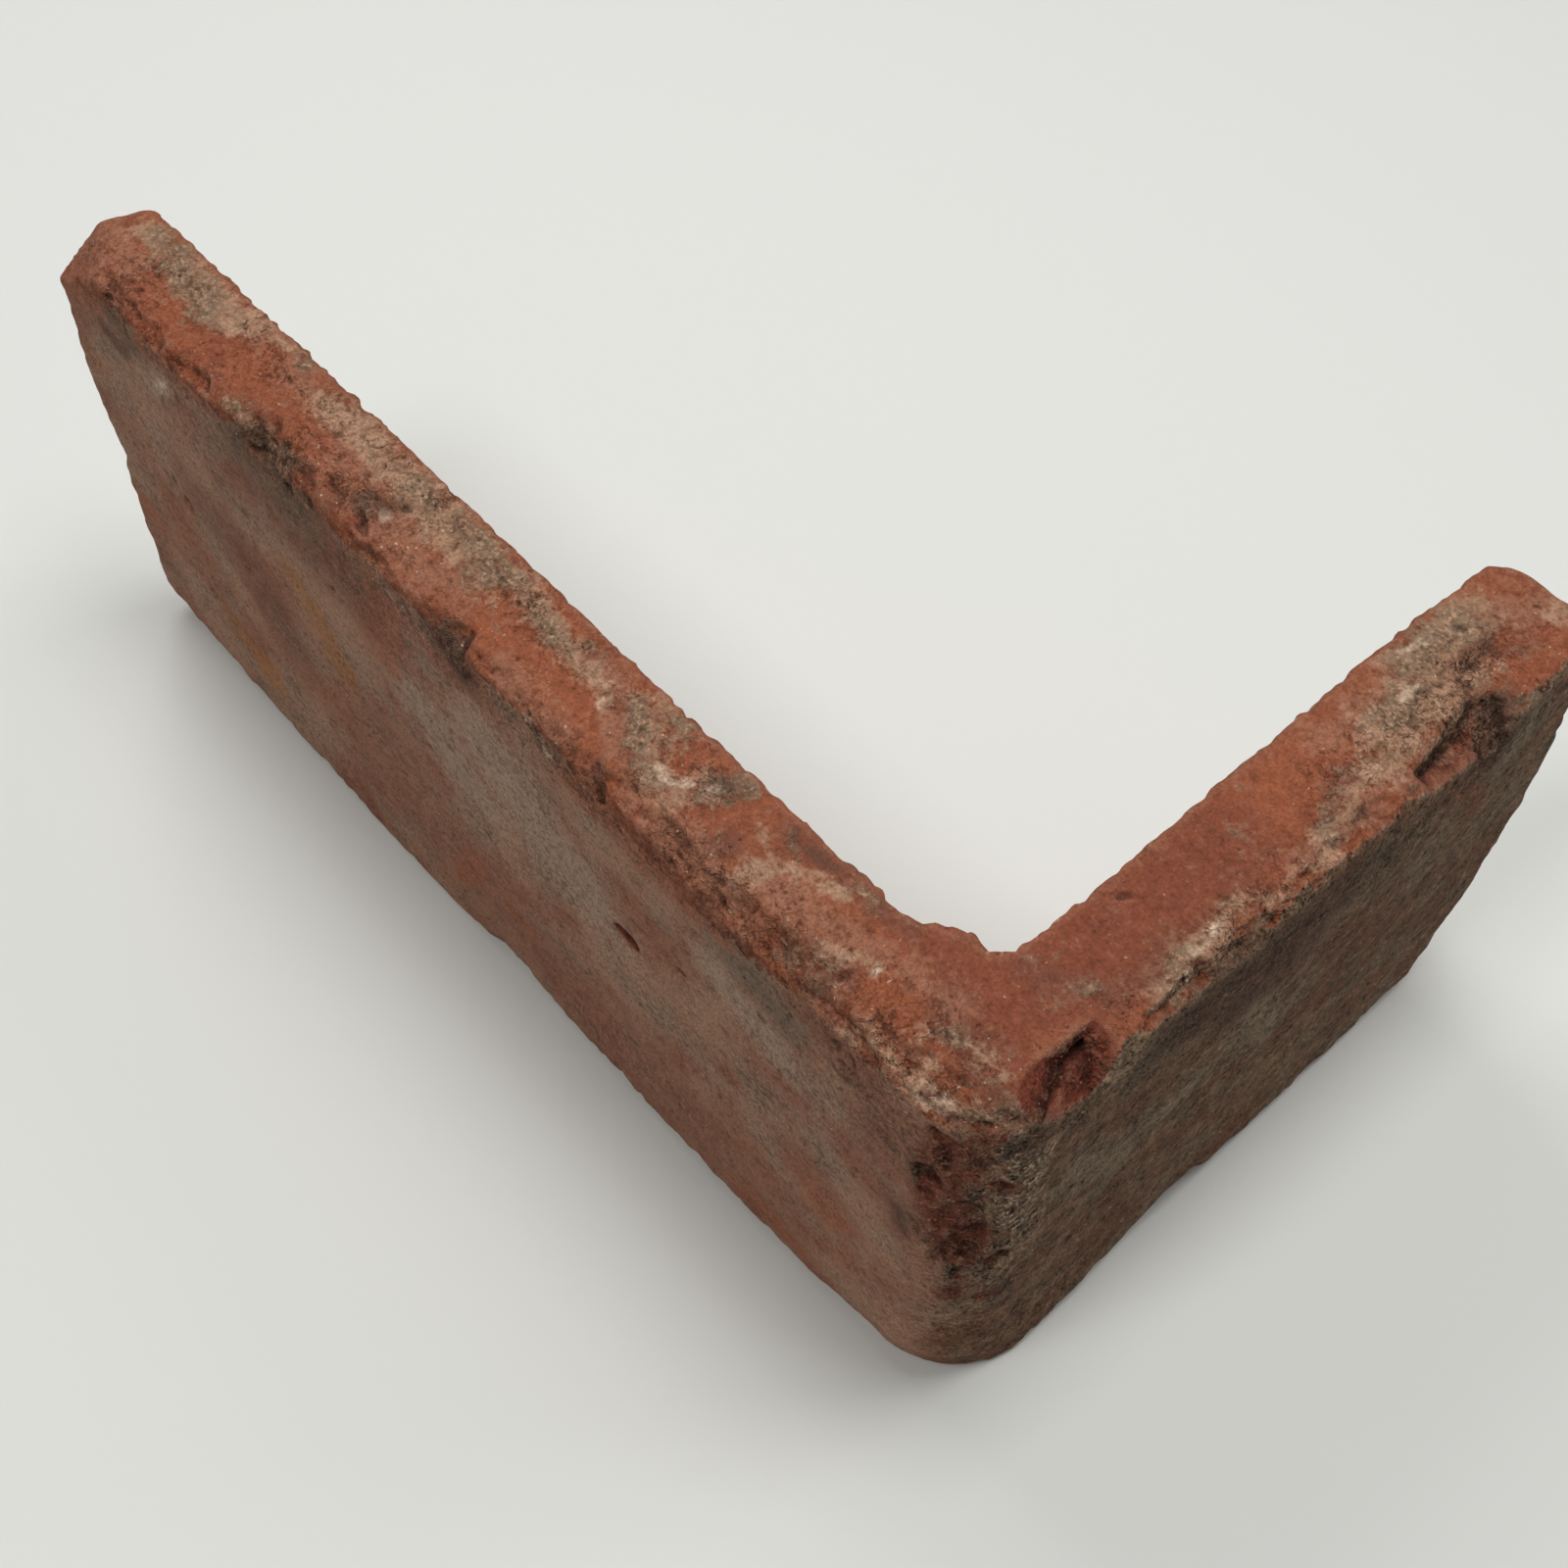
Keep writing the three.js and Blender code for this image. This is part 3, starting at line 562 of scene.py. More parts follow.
# Strokes, by coat and face: a radius, and then the coordinates of the points of a line. These are
# x and y on the upper bed, x and z on the stretcher face, y and z on the header face, and all three
# on the rounded corner.
STROKES = {
    ("mortar", "bed"): (
        (2, -190, 12.6, -186, 13), (2.5, -184, 12.8, -172, 11.6, -162, 12.4),
        (1.9, -177, 9.8, -168, 9.6, -163, 11), (0.9, -160, 13.4, -154.6, 14),
        (2.4, -143, 12.6, -136, 12.4, -128, 12), (3, -127, 11.4, -118, 11, -112, 11),
        (1.6, -124, 11.5, -119, 9.8), (2.9, -111, 10.6, -101, 11.2),
        (1.9, -101, 11, -95, 10.8, -86, 10.6), (1.2, -83, 10.2, -77, 8.8),
        (1.7, -74, 11.5, -69, 8.6, -64, 5.8, -60, 6), (1.3, -72, 14, -67, 12.2),
        (1.8, -60, 10.4, -56.5, 11.2), (1.2, -45.7, 4, -45.9, 6.4, -44.9, 9.3, -41.1, 11),
        (1.2, -41, 11, -36.4, 12.4), (0.9, -49, 9.8, -47.2, 9),
        (0.7, -33, 4.2, -28.4, 6.4, -26.6, 7), (1.2, -26, 0, -22.4, 0.7, -16.4, 1, -9.8, 1.3),
        (0.8, -17, 6.2, -14.4, 7.6), (0.5, -11, 9.8, -6.6, 9.4), (0.5, -15, 3.4, -12, 5, -8, 6.6),
        (1.8, -6.4, 111, -5, 113), (0.9, -2.4, 30, -2.6, 36), (1.6, -3.4, 36.5, -4, 45),
        (0.8, -3, 49, -1.6, 59), (2.2, -4, 62, -4.2, 67), (2.4, -5.4, 74, -6, 79),
        (4.2, -8.4, 79, -9.4, 88, -9, 94), (3, -13.6, 88, -14, 98, -13.8, 103),
    ),
    ("mortar", "header"): ((4, 5, 82, 8, 66, 10, 52, 11, 42), (2.2, 20, 84, 26, 82)),
    ("stone", "bed"): (
        (1.4, -188, 13.6, -182, 13), (1.6, -181, 11, -176, 9.6), (1.8, -173, 12, -169, 8.6),
        (0.7, -154, 13.8, -152, 14), (1.2, -126, 6, -123.6, 5.6), (1.4, -123, 12, -118, 11.6),
        (1.4, -113, 12, -110, 12.4), (2, -107, 12.6, -101, 11), (1.2, -106.5, 8.6, -105, 8),
        (1.2, -92, 10.6, -87, 10.6), (0.8, -85.4, 13.6, -84, 13.4),
        (1.3, -73.4, 11.4, -70.6, 9.4, -69, 7.6), (1, -69.6, 12.6, -68, 13.2),
        (1, -66.4, 11.4, -65, 11.8), (1.3, -66.6, 5.6, -63, 6.2), (1.8, -58.6, 9.6, -56, 12),
        (0.8, -46, 12.6, -44.6, 12.4), (1.6, -37.6, 2.2, -35.4, 2.8), (1.1, -33, 1.8, -31, 2.4),
        (0.8, -16, 7.4, -13, 8.8), (0.7, -10, 8.6, -8, 8.4), (0.7, -12, 4.4, -10, 5.2),
        (2, -151, 2, -146, 2, -140, 1.6), (1.2, -7, -0.8, -6, 4.4), (0.9, -36, 14.2, -33, 14),
        (0.9, -8.6, 24.4, -8.2, 26), (1.2, -2.4, 33, -3.6, 37), (1.3, -3.8, 63, -6, 66),
        (2, -10.5, 81, -10.8, 87), (2.8, -14, 90, -15, 95, -13, 100),
    ),
    ("stone", "stretcher"): ((1.4, -82, 84, -80, 82),),
    ("stone", "corner"): (
        (1.4, -101, 0.8, 86, -99, 0.8, 83),
        (3, -1.6, 5.2, 86, -0.6, 7.6, 76, -0.3, 8.4, 66, -0.3, 8.6, 54),
    ),
    ("sage", "stretcher"): (
        (6, -112, 60, -106, 54, -100, 50), (8, -94, 66, -84, 58, -74, 54), (4.5, -46, 68, -34, 64),
        (2.4, -176, 74, -171, 79), (4.5, -196, 46, -193, 40),
    ),
    ("sage", "header"): (
        (5, 52, 60, 56, 48), (4.5, 20, 58, 30, 46, 42, 50), (4, 97, 88, 102, 76),
        (3, 20, 84, 28, 80),
    ),
    ("dusk", "stretcher"): (
        (4.6, -45, 77, -34, 75), (4.6, -150, 84, -141, 79, -134, 81), (3, -184, 84, -180, 80),
    ),
    ("red", "stretcher"): (
        (13, -128, 30, -100, 18), (11, -86, 16, -40, 14), (6, -198, 18, -194, 30),
        (6, -30, 38, -22, 34), (5.5, -29, 80, -20, 79, -12, 79, -16, 68),
    ),
    ("red", "header"): (
        (9, 92, 26, 104, 26), (8, 14, 18, 34, 16), (5, 48, 15, 64, 14), (7, 18, 70, 28, 62),
    ),
    ("salmon", "bed"): (
        (2.4, -44, 6, -37, 7.6, -28, 8.2), (2.2, -24, 11.6, -18, 10.4),
        (2, -29, 0.8, -24, 0.4, -18, 0.8), (2.4, -48.6, 1.8, -43, 2.4),
        (1.8, -58, -1.2, -50, -1.4, -42, -1.4),
        (2.2, -76, 9.2, -71, 5.6, -66, 3.2, -60, 3.4, -55, 3.2), (2.2, -133, 5.6, -129, 5.2),
        (1.8, -120, 12.6, -117, 11.6), (2.6, -195, 4, -189, 2.4), (1.8, -14, 1, -8, 2),
        (3.2, -198, 9, -190, 7, -185, 6), (3, -184, 13, -172, 12, -160, 13),
        (2.6, -152, 12.6, -140, 12, -130, 10), (3.2, -118, 5, -110, 4.4, -104, 5),
        (2.6, -135, 9.6, -124, 9, -114, 8.4), (2.4, -60, 2, -52, 1.6), (1.6, -3, 64, -3, 70),
        (2, -13.5, 72, -14.5, 86), (1.4, -22, 11, -16, 13), (2.4, -3.4, 58, -3.6, 64),
        (2.4, -5, 75, -5, 80), (3, -11, 108, -7, 111.6), (2.4, -84, 11, -72, 11),
        (2.4, -90, 2, -78, 1.4),
    ),
    ("salmon", "stretcher"): (
        (8, -192, 48, -184, 36, -178, 30), (5, -66, 62, -58, 58), (4, -182, 42, -176, 38),
        (5, -158, 28, -136, 28), (2.6, -22.5, 20, -21, 18), (4, -44, 30, -36, 24),
        (3, -8, 46, -7, 34),
    ),
    ("salmon", "corner"): ((1.8, -7, 84, 86, -4.8, 84.8, 84.6),),
    ("orange", "bed"): (
        (3.6, -158, 9, -150, 8.6, -145, 8), (3, -192, 7, -180, 6, -168, 4.6),
        (1.8, -134.6, 5, -130.4, 4.2), (3.6, -102, 5, -88, 4.6, -75, 4.6),
        (1.5, -112, 14, -107, 14.2), (1.4, -100, 14, -86, 14, -70, 14),
        (2.8, -68, 11.4, -61.6, 11.6), (1.8, -25.2, 5.9, -18.8, 8),
        (0.9, -19.5, 3.2, -14.9, 4.3, -11.8, 4.8), (2, -70, 2.5, -58, 3),
        (1.6, -50, -0.6, -41, -0.6), (5, -12, 56, -12, 78), (1.6, -15.4, 78, -16, 90),
        (3.2, -4, 97, -4, 108),
    ),
    ("bare", "stretcher"): (
        (3, -200, 85, -186, 87), (2.6, -72, 85, -64, 84, -54, 82, -44, 83, -34, 86, -22, 86),
        (3.6, -60, 86, -52, 85.4, -44, 85.6),
    ),
    ("brick", "bed"): (
        (5.5, -16, 12, -12, 20, -11, 52), (3, -28, 14.4, -22, 17), (2, -5.4, 22.6, -5, 28, -4, 32),
    ),
    ("brown", "bed"): (
        (2, -47, 12.6, -42, 14, -37, 15), (2, -34, 3, -28, 3.4), (2.4, -17, 9, -11, 9, -5, 6),
        (0.45, -200, 16, -150, 15.9, -110, 15.5, -60, 15.3, -31, 15.6),
        (0.35, -17.6, 30, -18, 60, -18.2, 113), (1.2, -3, 56, -2.4, 70), (2, -125, 4.4, -120, 6),
        (1.6, -53, 4.6, -49.6, 5.6), (1.5, -8.6, 99, -6, 104), (1.8, -7.6, 68.2, -6.6, 71),
        (1.5, -33, 13.6, -29, 14.8), (1.8, -10.8, 104, -9.8, 106.6),
        (1.2, -153.6, 14.8, -150, 14.8), (1.2, -85, 12.4, -80, 11.8), (2, -14, 22, -6, 26, -4, 50),
    ),
    ("crumb", "bed"): (
        (6, -34, 3, -20, 3, -8, 4), (3, -64, 3, -40, 1), (6, -140, 4, -118, 5),
        (3, -180, 10, -110, 12, -60, 9), (4, -8, 68, -9, 86, -7, 104), (3, -3, 28, -2, 60),
    ),
    ("crumb", "stretcher"): ((4, -190, 86, -110, 84, -60, 82, -8, 84),),
    ("crumb", "header"): ((5, 5, 84, 7, 62, 8, 40), (5, 20, 78, 60, 76, 100, 80)),
    # dark: dark patches, and painted shade in the hollows, chips, recess and scar
    ("dark", "bed"): (
        (1, -144, 1.8, -141, 2.6, -136, 1.6, -131, 0.2), (1.6, -126, 6, -121, 7.4),
        (1, -71, 0.4, -68, -1), (0.6, -41.4, 0.6, -39.8, 0.2), (1.1, -38.4, 2, -36, 2.6),
        (0.7, -33, 1.6, -30.6, 2.8), (0.9, -46, 13, -41, 14.4), (1.4, -59, 11, -56, 11),
        (1.4, -5.2, 7.8, -3, 5.8, -1, 5.8), (1.3, -82, -1.4, -77, -1), (1, -7.6, -0.4, -6.2, -1.8),
    ),
    ("dark", "stretcher"): (
        (1.3, -12.6, 55, -12, 50), (1.6, -188, 77, -182, 76.6), (1.7, -148, 85, -138, 84, -130, 86),
        (3.2, -102, 84, -98, 81),
    ),
    ("dark", "header"): (
        (1.8, 7.4, 83.6, 9.6, 80.6), (2.4, 91, 82, 97, 81), (5.5, 32, 80, 50, 77, 64, 77),
        (5, 46, 70, 58, 68),
    ),
    ("dark", "corner"): (
        (1.6, -98.4, 1.2, 83.4, -97.4, 0.6, 81),
        (1, -143, 1.2, 85, -138, 1.2, 84.6, -135, 0.8, 84.4), (3.2, 0, 94, 82.5, -3.2, 93.4, 85.5),
        (2, -1.7, 6.4, 87.6, -3.4, 3.2, 87), (1.6, -2.2, 4.1, 87, -4.2, 2.2, 83, -5.6, 1.2, 79.4),
        (2.4, -8.8, 0.3, 72, -8.2, 0.4, 66), (0.9, -9.6, 0, 57, -8.6, 0.2, 53.4, -6.3, 0.9, 51.9),
        (1.2, -4.8, 1.6, 53, -4.6, 1.8, 50),
    ),
    ("plum", "bed"): (
        (2.2, -127, 3.8, -122, 4.8), (1.7, -7.4, 68, -6.4, 71), (1.8, -51.4, 3.8, -50.8, 5.9),
        (1.6, -49.6, 2.4, -47, 1.6), (1.6, -24, -4.6, -17, -4.8), (3.4, -1.6, 89, -1.4, 94),
        (3.2, -1.8, 79.6, -1.8, 86),
    ),
    ("plum", "stretcher"): (
        (2.8, -12.6, 58, -12, 49), (8, -150, 78, -136, 74, -124, 76),
        (7, -168, 52, -158, 46, -152, 36), (2.5, -28, 81, -20, 82), (4, -182, 85, -179, 82),
        (3, -101, 85, -98, 82),
    ),
    ("plum", "header"): ((3, 88, 84, 96, 82),),
    ("plum", "corner"): ((5, -1, 91, 84.5, -3.4, 91, 85.5),),
    ("rust", "stretcher"): (
        (1.7, -198, 29, -186, 27.4, -172, 22, -165, 18), (3, -110, 14, -105, 24),
        (2, -97, 20, -92, 21), (3, -26, 32, -21, 34), (4, -40, 9, -30, 8), (4, -197, 80, -188, 84),
        (2.5, -174, 84, -158, 86), (4, -76, 82, -60, 80, -48, 80), (6, -120, 66, -116, 76),
    ),
    ("rust", "header"): ((2, 89, 76, 97, 62),),
    ("ochre", "stretcher"): ((3.6, -143, 58, -137, 51, -134, 44), (4, -172, 18, -164, 14)),
    ("pale", "bed"): (
        (0.9, -63.6, 7.4, -61.4, 7.6), (0.6, -59.6, 9.4, -59, 9.6), (0.5, -79.8, 9.6, -79.2, 9.4),
        (0.4, -78, 7.8, -77.8, 7.8), (0.5, -120.6, 13.6, -119.8, 13.6), (0.8, -121, 6.2, -120, 6),
        (0.9, -132.6, -1.4, -131.6, -1.6), (1, -11.5, 1, -8.8, 1.7), (0.5, -19.2, 0.6, -16.4, 0.9),
        (0.5, -37, 2.2, -36.4, 2.4), (0.4, -35.4, 2.8, -35, 3), (0.45, -26.6, 6.6, -26.4, 6),
        (0.45, -3.6, 38, -4.4, 42), (0.7, -15.8, 92, -15, 94), (0.6, -11, 85, -10.6, 88),
        (0.4, -4.6, 12.6, -4.4, 12.8), (0.3, -5.2, 9, -5, 9),
    ),
    ("pale", "stretcher"): ((0.9, -81, 83, -79.6, 82), (1.1, -173.6, 76, -171.6, 78)),
    ("fresh", "bed"): ((2, -29, 15.4, -25, 17.2, -20, 19),),
    ("fresh", "stretcher"): ((3, -67, 52.5, -65, 52.5),),
    ("fresh", "corner"): (
        (5, -4, 20, 86, -3, 14, 85, -1.5, 8.8, 85.8), (4, -0.6, 19, 84.5, -0.4, 12, 83.6),
        (2.3, -3.4, 2.8, 58, -3, 3.2, 52), (1.8, -2.6, 3.6, 46, -0.8, 6.4, 47),
    ),
    # painted shadow lines in the clefts and creases, and under the steps and ledges
    ("cleft_shade", "bed"): (
        (0.35, -9.6, 91.4, -9.6, 93.6), (0.4, -9.9, 95.6, -10, 98.4), (0.4, -10, 100, -9.8, 101.6),
        (0.35, -37, 1.4, -33, 2.2, -29.6, 3), (0.35, -17, 6.6, -14.6, 7.4, -12.6, 8.4),
        (0.35, -21, 3.6, -17, 4, -14, 5), (0.4, -61, 3, -57, 3.4, -52, 3),
        (0.4, -143, 4, -139, 4.6),
    ),
    ("cleft_shade", "stretcher"): ((0.3, -27, 75.6, -24.7, 74.5, -21, 75.6),),
    ("cleft_shade", "corner"): (
        (0.9, -4.9, 20.6, 85.6, -5.1, 18.5, 84.6, -4.4, 17, 84.4),
        (1.2, -4.4, 17, 84.4, -3.1, 14, 84.6, -1.2, 9.6, 85),
        (0.7, -2.7, 79.4, 86, -3.5, 84, 85.6, -4.5, 89, 84.8),
        (1.1, -2.2, 12, 84.6, -0.6, 9.4, 84.6),
        (0.6, -2.2, 4.2, 87, -3.6, 2.8, 86.3, -5.6, 1.3, 85), (0.4, -96.2, 1, 86.6, -96.3, 0, 80.6),
    ),
    ("torn", "corner"): (
        (4.2, -6, 1.6, 80, -6.2, 1.6, 70, -5, 2.2, 60, -3.4, 3.2, 50),
        (2.4, -2, 4.4, 85, -3.2, 3.2, 79), (1.6, -1.6, 5.4, 72, -0.8, 6.8, 71),
        (1.6, -1.1, 5.9, 36, -0.2, 9, 33), (1.3, -3, 3.2, 44, -3.8, 2.4, 36),
    ),
}

EDGE_SHARE, EDGE_WIDTH = 0.6, 0.8  # a stroke's soft edge: a share of its radius, and so much more
# Each face: the axes that a stroke's coordinates run along, where the face lies, and how much a
# distance along each axis counts. Across the face it counts less, so strokes reach into hollows.
FACES = {
    "bed": ((0, 1), (0, 0, HEIGHT), (1, 1, 0.45)),
    "stretcher": ((0, 2), (0, 0, 0), (1, 0.6, 1)),
    "header": ((1, 2), (0, 0, 0), (0.6, 1, 1)),
    "corner": ((0, 1, 2), (0, 0, 0), (1, 1, 1)),
}
BREAK_DEPTH = 3  # how far below the unbroken surface a break counts in full
END_ZONE = 9  # how far from the tips of the legs their end faces are looked for
BEHIND_X, BEHIND_Y = -13, 11  # past these are only the sawn backs
LONG_TIP, SHORT_TIP = 6, 3  # how much of the legs' tips is not counted as sawn
RIM = 2.2  # how far above the upper bed the skin of the short leg reaches


def segment_distance(points, a, b):
    line = b - a
    share = np.clip((points - a) @ line / max(line @ line, 1e-9), 0, 1)
    return np.linalg.norm(points - a - share[:, None] * line, axis=1)


def painted(points, coat):
    """0.5 at the edge of the coat's strokes, above it inside and below it outside."""
    value = np.zeros(len(points))
    for face, (axes, place, soak) in FACES.items():
        soaked = points * soak
        for radius, *numbers in STROKES.get((coat, face), ()):
            line = np.tile(np.array(place, float), (len(numbers) // len(axes), 1))
            line[:, axes] = np.reshape(numbers, (-1, len(axes)))
            line *= soak
            pieces = [segment_distance(soaked, a, b) for a, b in zip(line, line[1:])]
            inside = radius - np.min(pieces, axis=0)
            value = np.maximum(value, 0.5 + 0.5 * inside / (EDGE_SHARE * radius + EDGE_WIDTH))
    return np.clip(value, 0, 1)


def paint(points, normals, swell):
    """The coats on the clay, by name, each from 0 to 1."""
    x, y, z = points.T
    bent = warped(warped(points, 7, 1.5, 30), 2.2, 0.6, 33)
    coats = {name: painted(bent, name) for name in dict.fromkeys(coat for coat, _ in STROKES)}
    coats["cut"] = np.clip(-unbroken(points, swell), 0, BREAK_DEPTH) / BREAK_DEPTH
    facing_back = np.maximum(normals[:, 1], 0) + np.maximum(-normals[:, 0], 0)
    behind = (x < BEHIND_X) & (y > BEHIND_Y) & (x > -LENGTH + LONG_TIP) & (y < WIDTH - SHORT_TIP)
    coats["sawn"] = smoothstep(0.5, 0.9, facing_back) * behind
    on_side = np.maximum(np.maximum(-normals[:, 1], normals[:, 0]), 0)
    at_end = (y > WIDTH - END_ZONE) | (x < -LENGTH + END_ZONE)
    ends = np.where(at_end, np.abs(normals[:, :2]).max(axis=1), 0)
    skin = smoothstep(0.35, 0.95, np.maximum(on_side, ends))
    rim = HEIGHT + RIM * smoothstep(4, 16, x + y) + 0.9 * noise(points, 7, 40)
    skin *= smoothstep(-0.5, -4, z - rim) * (1 - coats.pop("bare"))
    coats["skin"] = skin * (1 - coats["sawn"])
    coats["header"] = smoothstep(0.35, 0.85, normals[:, 0])
    rubble = smoothstep(0.1, 0.5, coats["cut"])
    coats["crumb"] = np.maximum.reduce([coats["crumb"], rubble, coats["torn"]])
    under = smoothstep(0.5, 0.9, -normals[:, 2])
    spread = smoothstep(0.0, 0.5, noise(points, 16, 41) + 0.4 * noise(points, 5, 42))
    coats["mortar"] = np.maximum(coats["mortar"], under * spread * 0.9)
    return coats


# ---- The slip's mesh ----

BLADE_X, BLADE_Z = -60, -130  # middle of the arcs that the saw left
SAW_MARKS, SAW_WAVES = 0.05, 4.1  # how high its marks stand, and their angle per millimetre
CAVITY_ROUNDS = 5  # how widely the surface is averaged to find its small cavities


def relief(points, coats):
    """How far the lumps, crust, pits and saw marks lift each point along its normal."""
    lumps = noise(points, 5.5, 49)
    rough = layers(points, 2.8, 50, 2)
    crust = np.maximum(0.7 * coats["mortar"], coats["stone"]) + 0.14 * rough
    broken = smoothstep(0.08, 0.3, coats["cut"])
    pitted = 0.25 + 0.75 * smoothstep(-0.1, 0.4, noise(points, 15, 59))
    unsawn = 1 - coats["sawn"]
    lift = 0.10 * lumps + (0.10 + 0.14 * coats["crumb"]) * rough
    lift += smoothstep(0.3, 0.7, crust) * (0.22 + 0.20 * rough)
    lift += broken * (0.22 * lumps + 0.16 * rough)
    lift -= 0.36 * pits(points, 2.4, 55, 0.14) * (1 - 0.6 * coats["sawn"]) * pitted
    lift -= 0.24 * pits(points, 1.7, 56, 0.16) * pitted
    lift += 0.08 * noise(points * (0.35, 1, 0.35), 1.6, 57) * unsawn
    lift *= 1 - 0.5 * coats["sawn"]
    blade = np.hypot(points[:, 0] - BLADE_X, points[:, 2] - BLADE_Z)
    arcs = np.sin(blade * SAW_WAVES + 2 * noise(points, 14, 58))
    return lift + coats["sawn"] * SAW_MARKS * arcs


def slip_mesh():
    starts, aims, quads, caps = slip_grid()
    points, swell = march(starts, aims)
    points = spread(points, quads, swell)
    normals = vertex_normals(points, quads)
    coats = paint(points, normals, swell)
    points = points + normals * relief(points, coats)[:, None]
    normals = vertex_normals(points, quads)
    # how sunk the surface is: the material paints shade into the sunk places and highlights onto
    # the raised ones
    sunk = ((relaxed(points, quads, CAVITY_ROUNDS) - points) * normals).sum(1)
    coats["cavity"] = np.clip(0.5 + 1.6 * sunk, 0, 1)
    return points, quads, caps, coats


def slip_object():
    points, quads, caps, coats = slip_mesh()
    mesh = bpy.data.meshes.new("clay_slip")
    faces = quads.tolist() + [cap.tolist() for cap in caps]
    mesh.from_pydata((points * MM + CORNER).tolist(), [], faces)
    for name, values in coats.items():
        layer = mesh.attributes.new(name, "FLOAT", "POINT")
        layer.data.foreach_set("value", values.astype(np.float32))
    work = bmesh.new()
    work.from_mesh(mesh)
    polygons = [f for f in work.faces if len(f.verts) > 4]
    bmesh.ops.triangulate(work, faces=polygons)
    work.to_mesh(mesh)
    work.free()
    mesh.shade_smooth()
    mesh.update()
    return bpy.data.objects.new("clay_slip", mesh)


# ---- Shader nodes ----


class Graph:
    """Adds shader nodes in short form. All that takes a value takes a node's socket as well."""

    def __init__(self, tree):
        self.tree = tree

    def add(self, kind, **settings):
        node = self.tree.nodes.new(kind)
        for name, value in settings.items():
            setattr(node, name, value)
        return node

    def feed(self, node, values):
        """Sets the node's inputs, by name or number, to values or to other nodes' sockets."""
        for name, value in values.items():
            self.plug(node.inputs[name], value)
        return node

    def plug(self, socket, value):
        if isinstance(value, bpy.types.NodeSocket):
            self.tree.links.new(value, socket)
        else:
            socket.default_value = value

    def math(self, operation, *values):
        node = self.add("ShaderNodeMath", operation=operation)
        return self.feed(node, dict(enumerate(values))).outputs[0]

    def times(self, first, *others):
        """The product."""
        for other in others:
            first = self.math("MULTIPLY", first, other)
        return first

    def total(self, *terms, offset=0.0):
        """The sum of (value, weight) terms and the offset."""
        result = offset
        for value, weight in terms:
            result = self.math("MULTIPLY_ADD", value, weight, result)
        return result

    def ramp(self, value, start, end, most=None):
        """A smooth step of value from 0 at start to 1, or to most, at end."""
        node = self.add("ShaderNodeMapRange", interpolation_type="SMOOTHSTEP")
        self.feed(node, {"Value": value, "From Min": start, "From Max": end})
        step = node.outputs["Result"]
        return step if most is None else self.times(step, most)

    def scaled(self, value, before, after):
        """The value moved from one (low, high) range to another."""
        names = ("Value", "From Min", "From Max", "To Min", "To Max")
        settings = dict(zip(names, (value, *before, *after)))
        return self.feed(self.add("ShaderNodeMapRange"), settings).outputs["Result"]

    def mix(self, share, first, second, blend="MIX"):
        node = self.add("ShaderNodeMix", data_type="RGBA", blend_type=blend)
        sockets = {s.identifier: s for s in node.inputs}
        for key, value in (("Factor_Float", share), ("A_Color", first), ("B_Color", second)):
            self.plug(sockets[key], value)
        return {s.identifier: s for s in node.outputs}["Result_Color"]

    def over(self, colour, *coats):
        """The colour with (share, colour) coats laid over it in order."""
        for share, coat in coats:
            colour = self.mix(share, colour, coat)
        return colour


def tone(*levels):
    """A colour from its 0 to 255 screen values, by the sRGB curve above its dark foot."""
    return tuple(((level / 255 + 0.055) / 1.055) ** 2.4 for level in levels) + (1,)


# ---- Clay ----

ORANGE = tone(145, 84, 58)
BRICK = tone(124, 70, 52)
UMBER = tone(96, 58, 45)
SALMON = tone(148, 102, 80)
MORTAR = tone(156, 122, 97)
PALE_MORTAR = tone(172, 138, 112)
STONE = tone(128, 107, 86)
CREAM = tone(206, 178, 154)
TAUPE = tone(164, 127, 104)
SKIN_RED = tone(143, 98, 78)
SKIN_GREY = tone(156, 132, 112)
SAGE = tone(164, 140, 120)
DUSK = tone(124, 108, 92)
OLIVE = tone(116, 92, 72)
OLIVE_RED = tone(108, 76, 58)
OLIVE_SAGE = tone(126, 110, 90)
# dark patches, and painted shade in the hollows
DARK_PATCH_AND_SHADE = tone(80, 60, 49)
PLUM = tone(110, 72, 58)
RUST = tone(154, 97, 73)
DULL_RUST = tone(118, 76, 58)
OCHRE = tone(160, 106, 60)
FRESH = tone(112, 57, 43)
FRESH_DARK = tone(84, 43, 33)
TORN = tone(112, 66, 52)
PIT_BROWN = tone(84, 60, 48)
SAWN = tone(154, 86, 62)
# painted shade in the cavities
CAVITY_SHADE = tone(50, 36, 29)
# painted shadow in the clefts
CLEFT_SHADE = tone(46, 24, 19)
# dark of the pores, and painted shade in the low spots
PORE_AND_LOW_SHADE = tone(66, 42, 32)

SHALLOWEST_CUT, SHALLOW_CUT = 0.03, 0.10  # shares of BREAK_DEPTH over which fresh clay sets in
BUMP_HEIGHT = 0.5  # of the finest relief
NOISE_SHIFT = (0.37, 0.61, 0.13)  # in metres for each millimetre of a noise's size
SHEEN = 0.1  # specular level of the dull clay


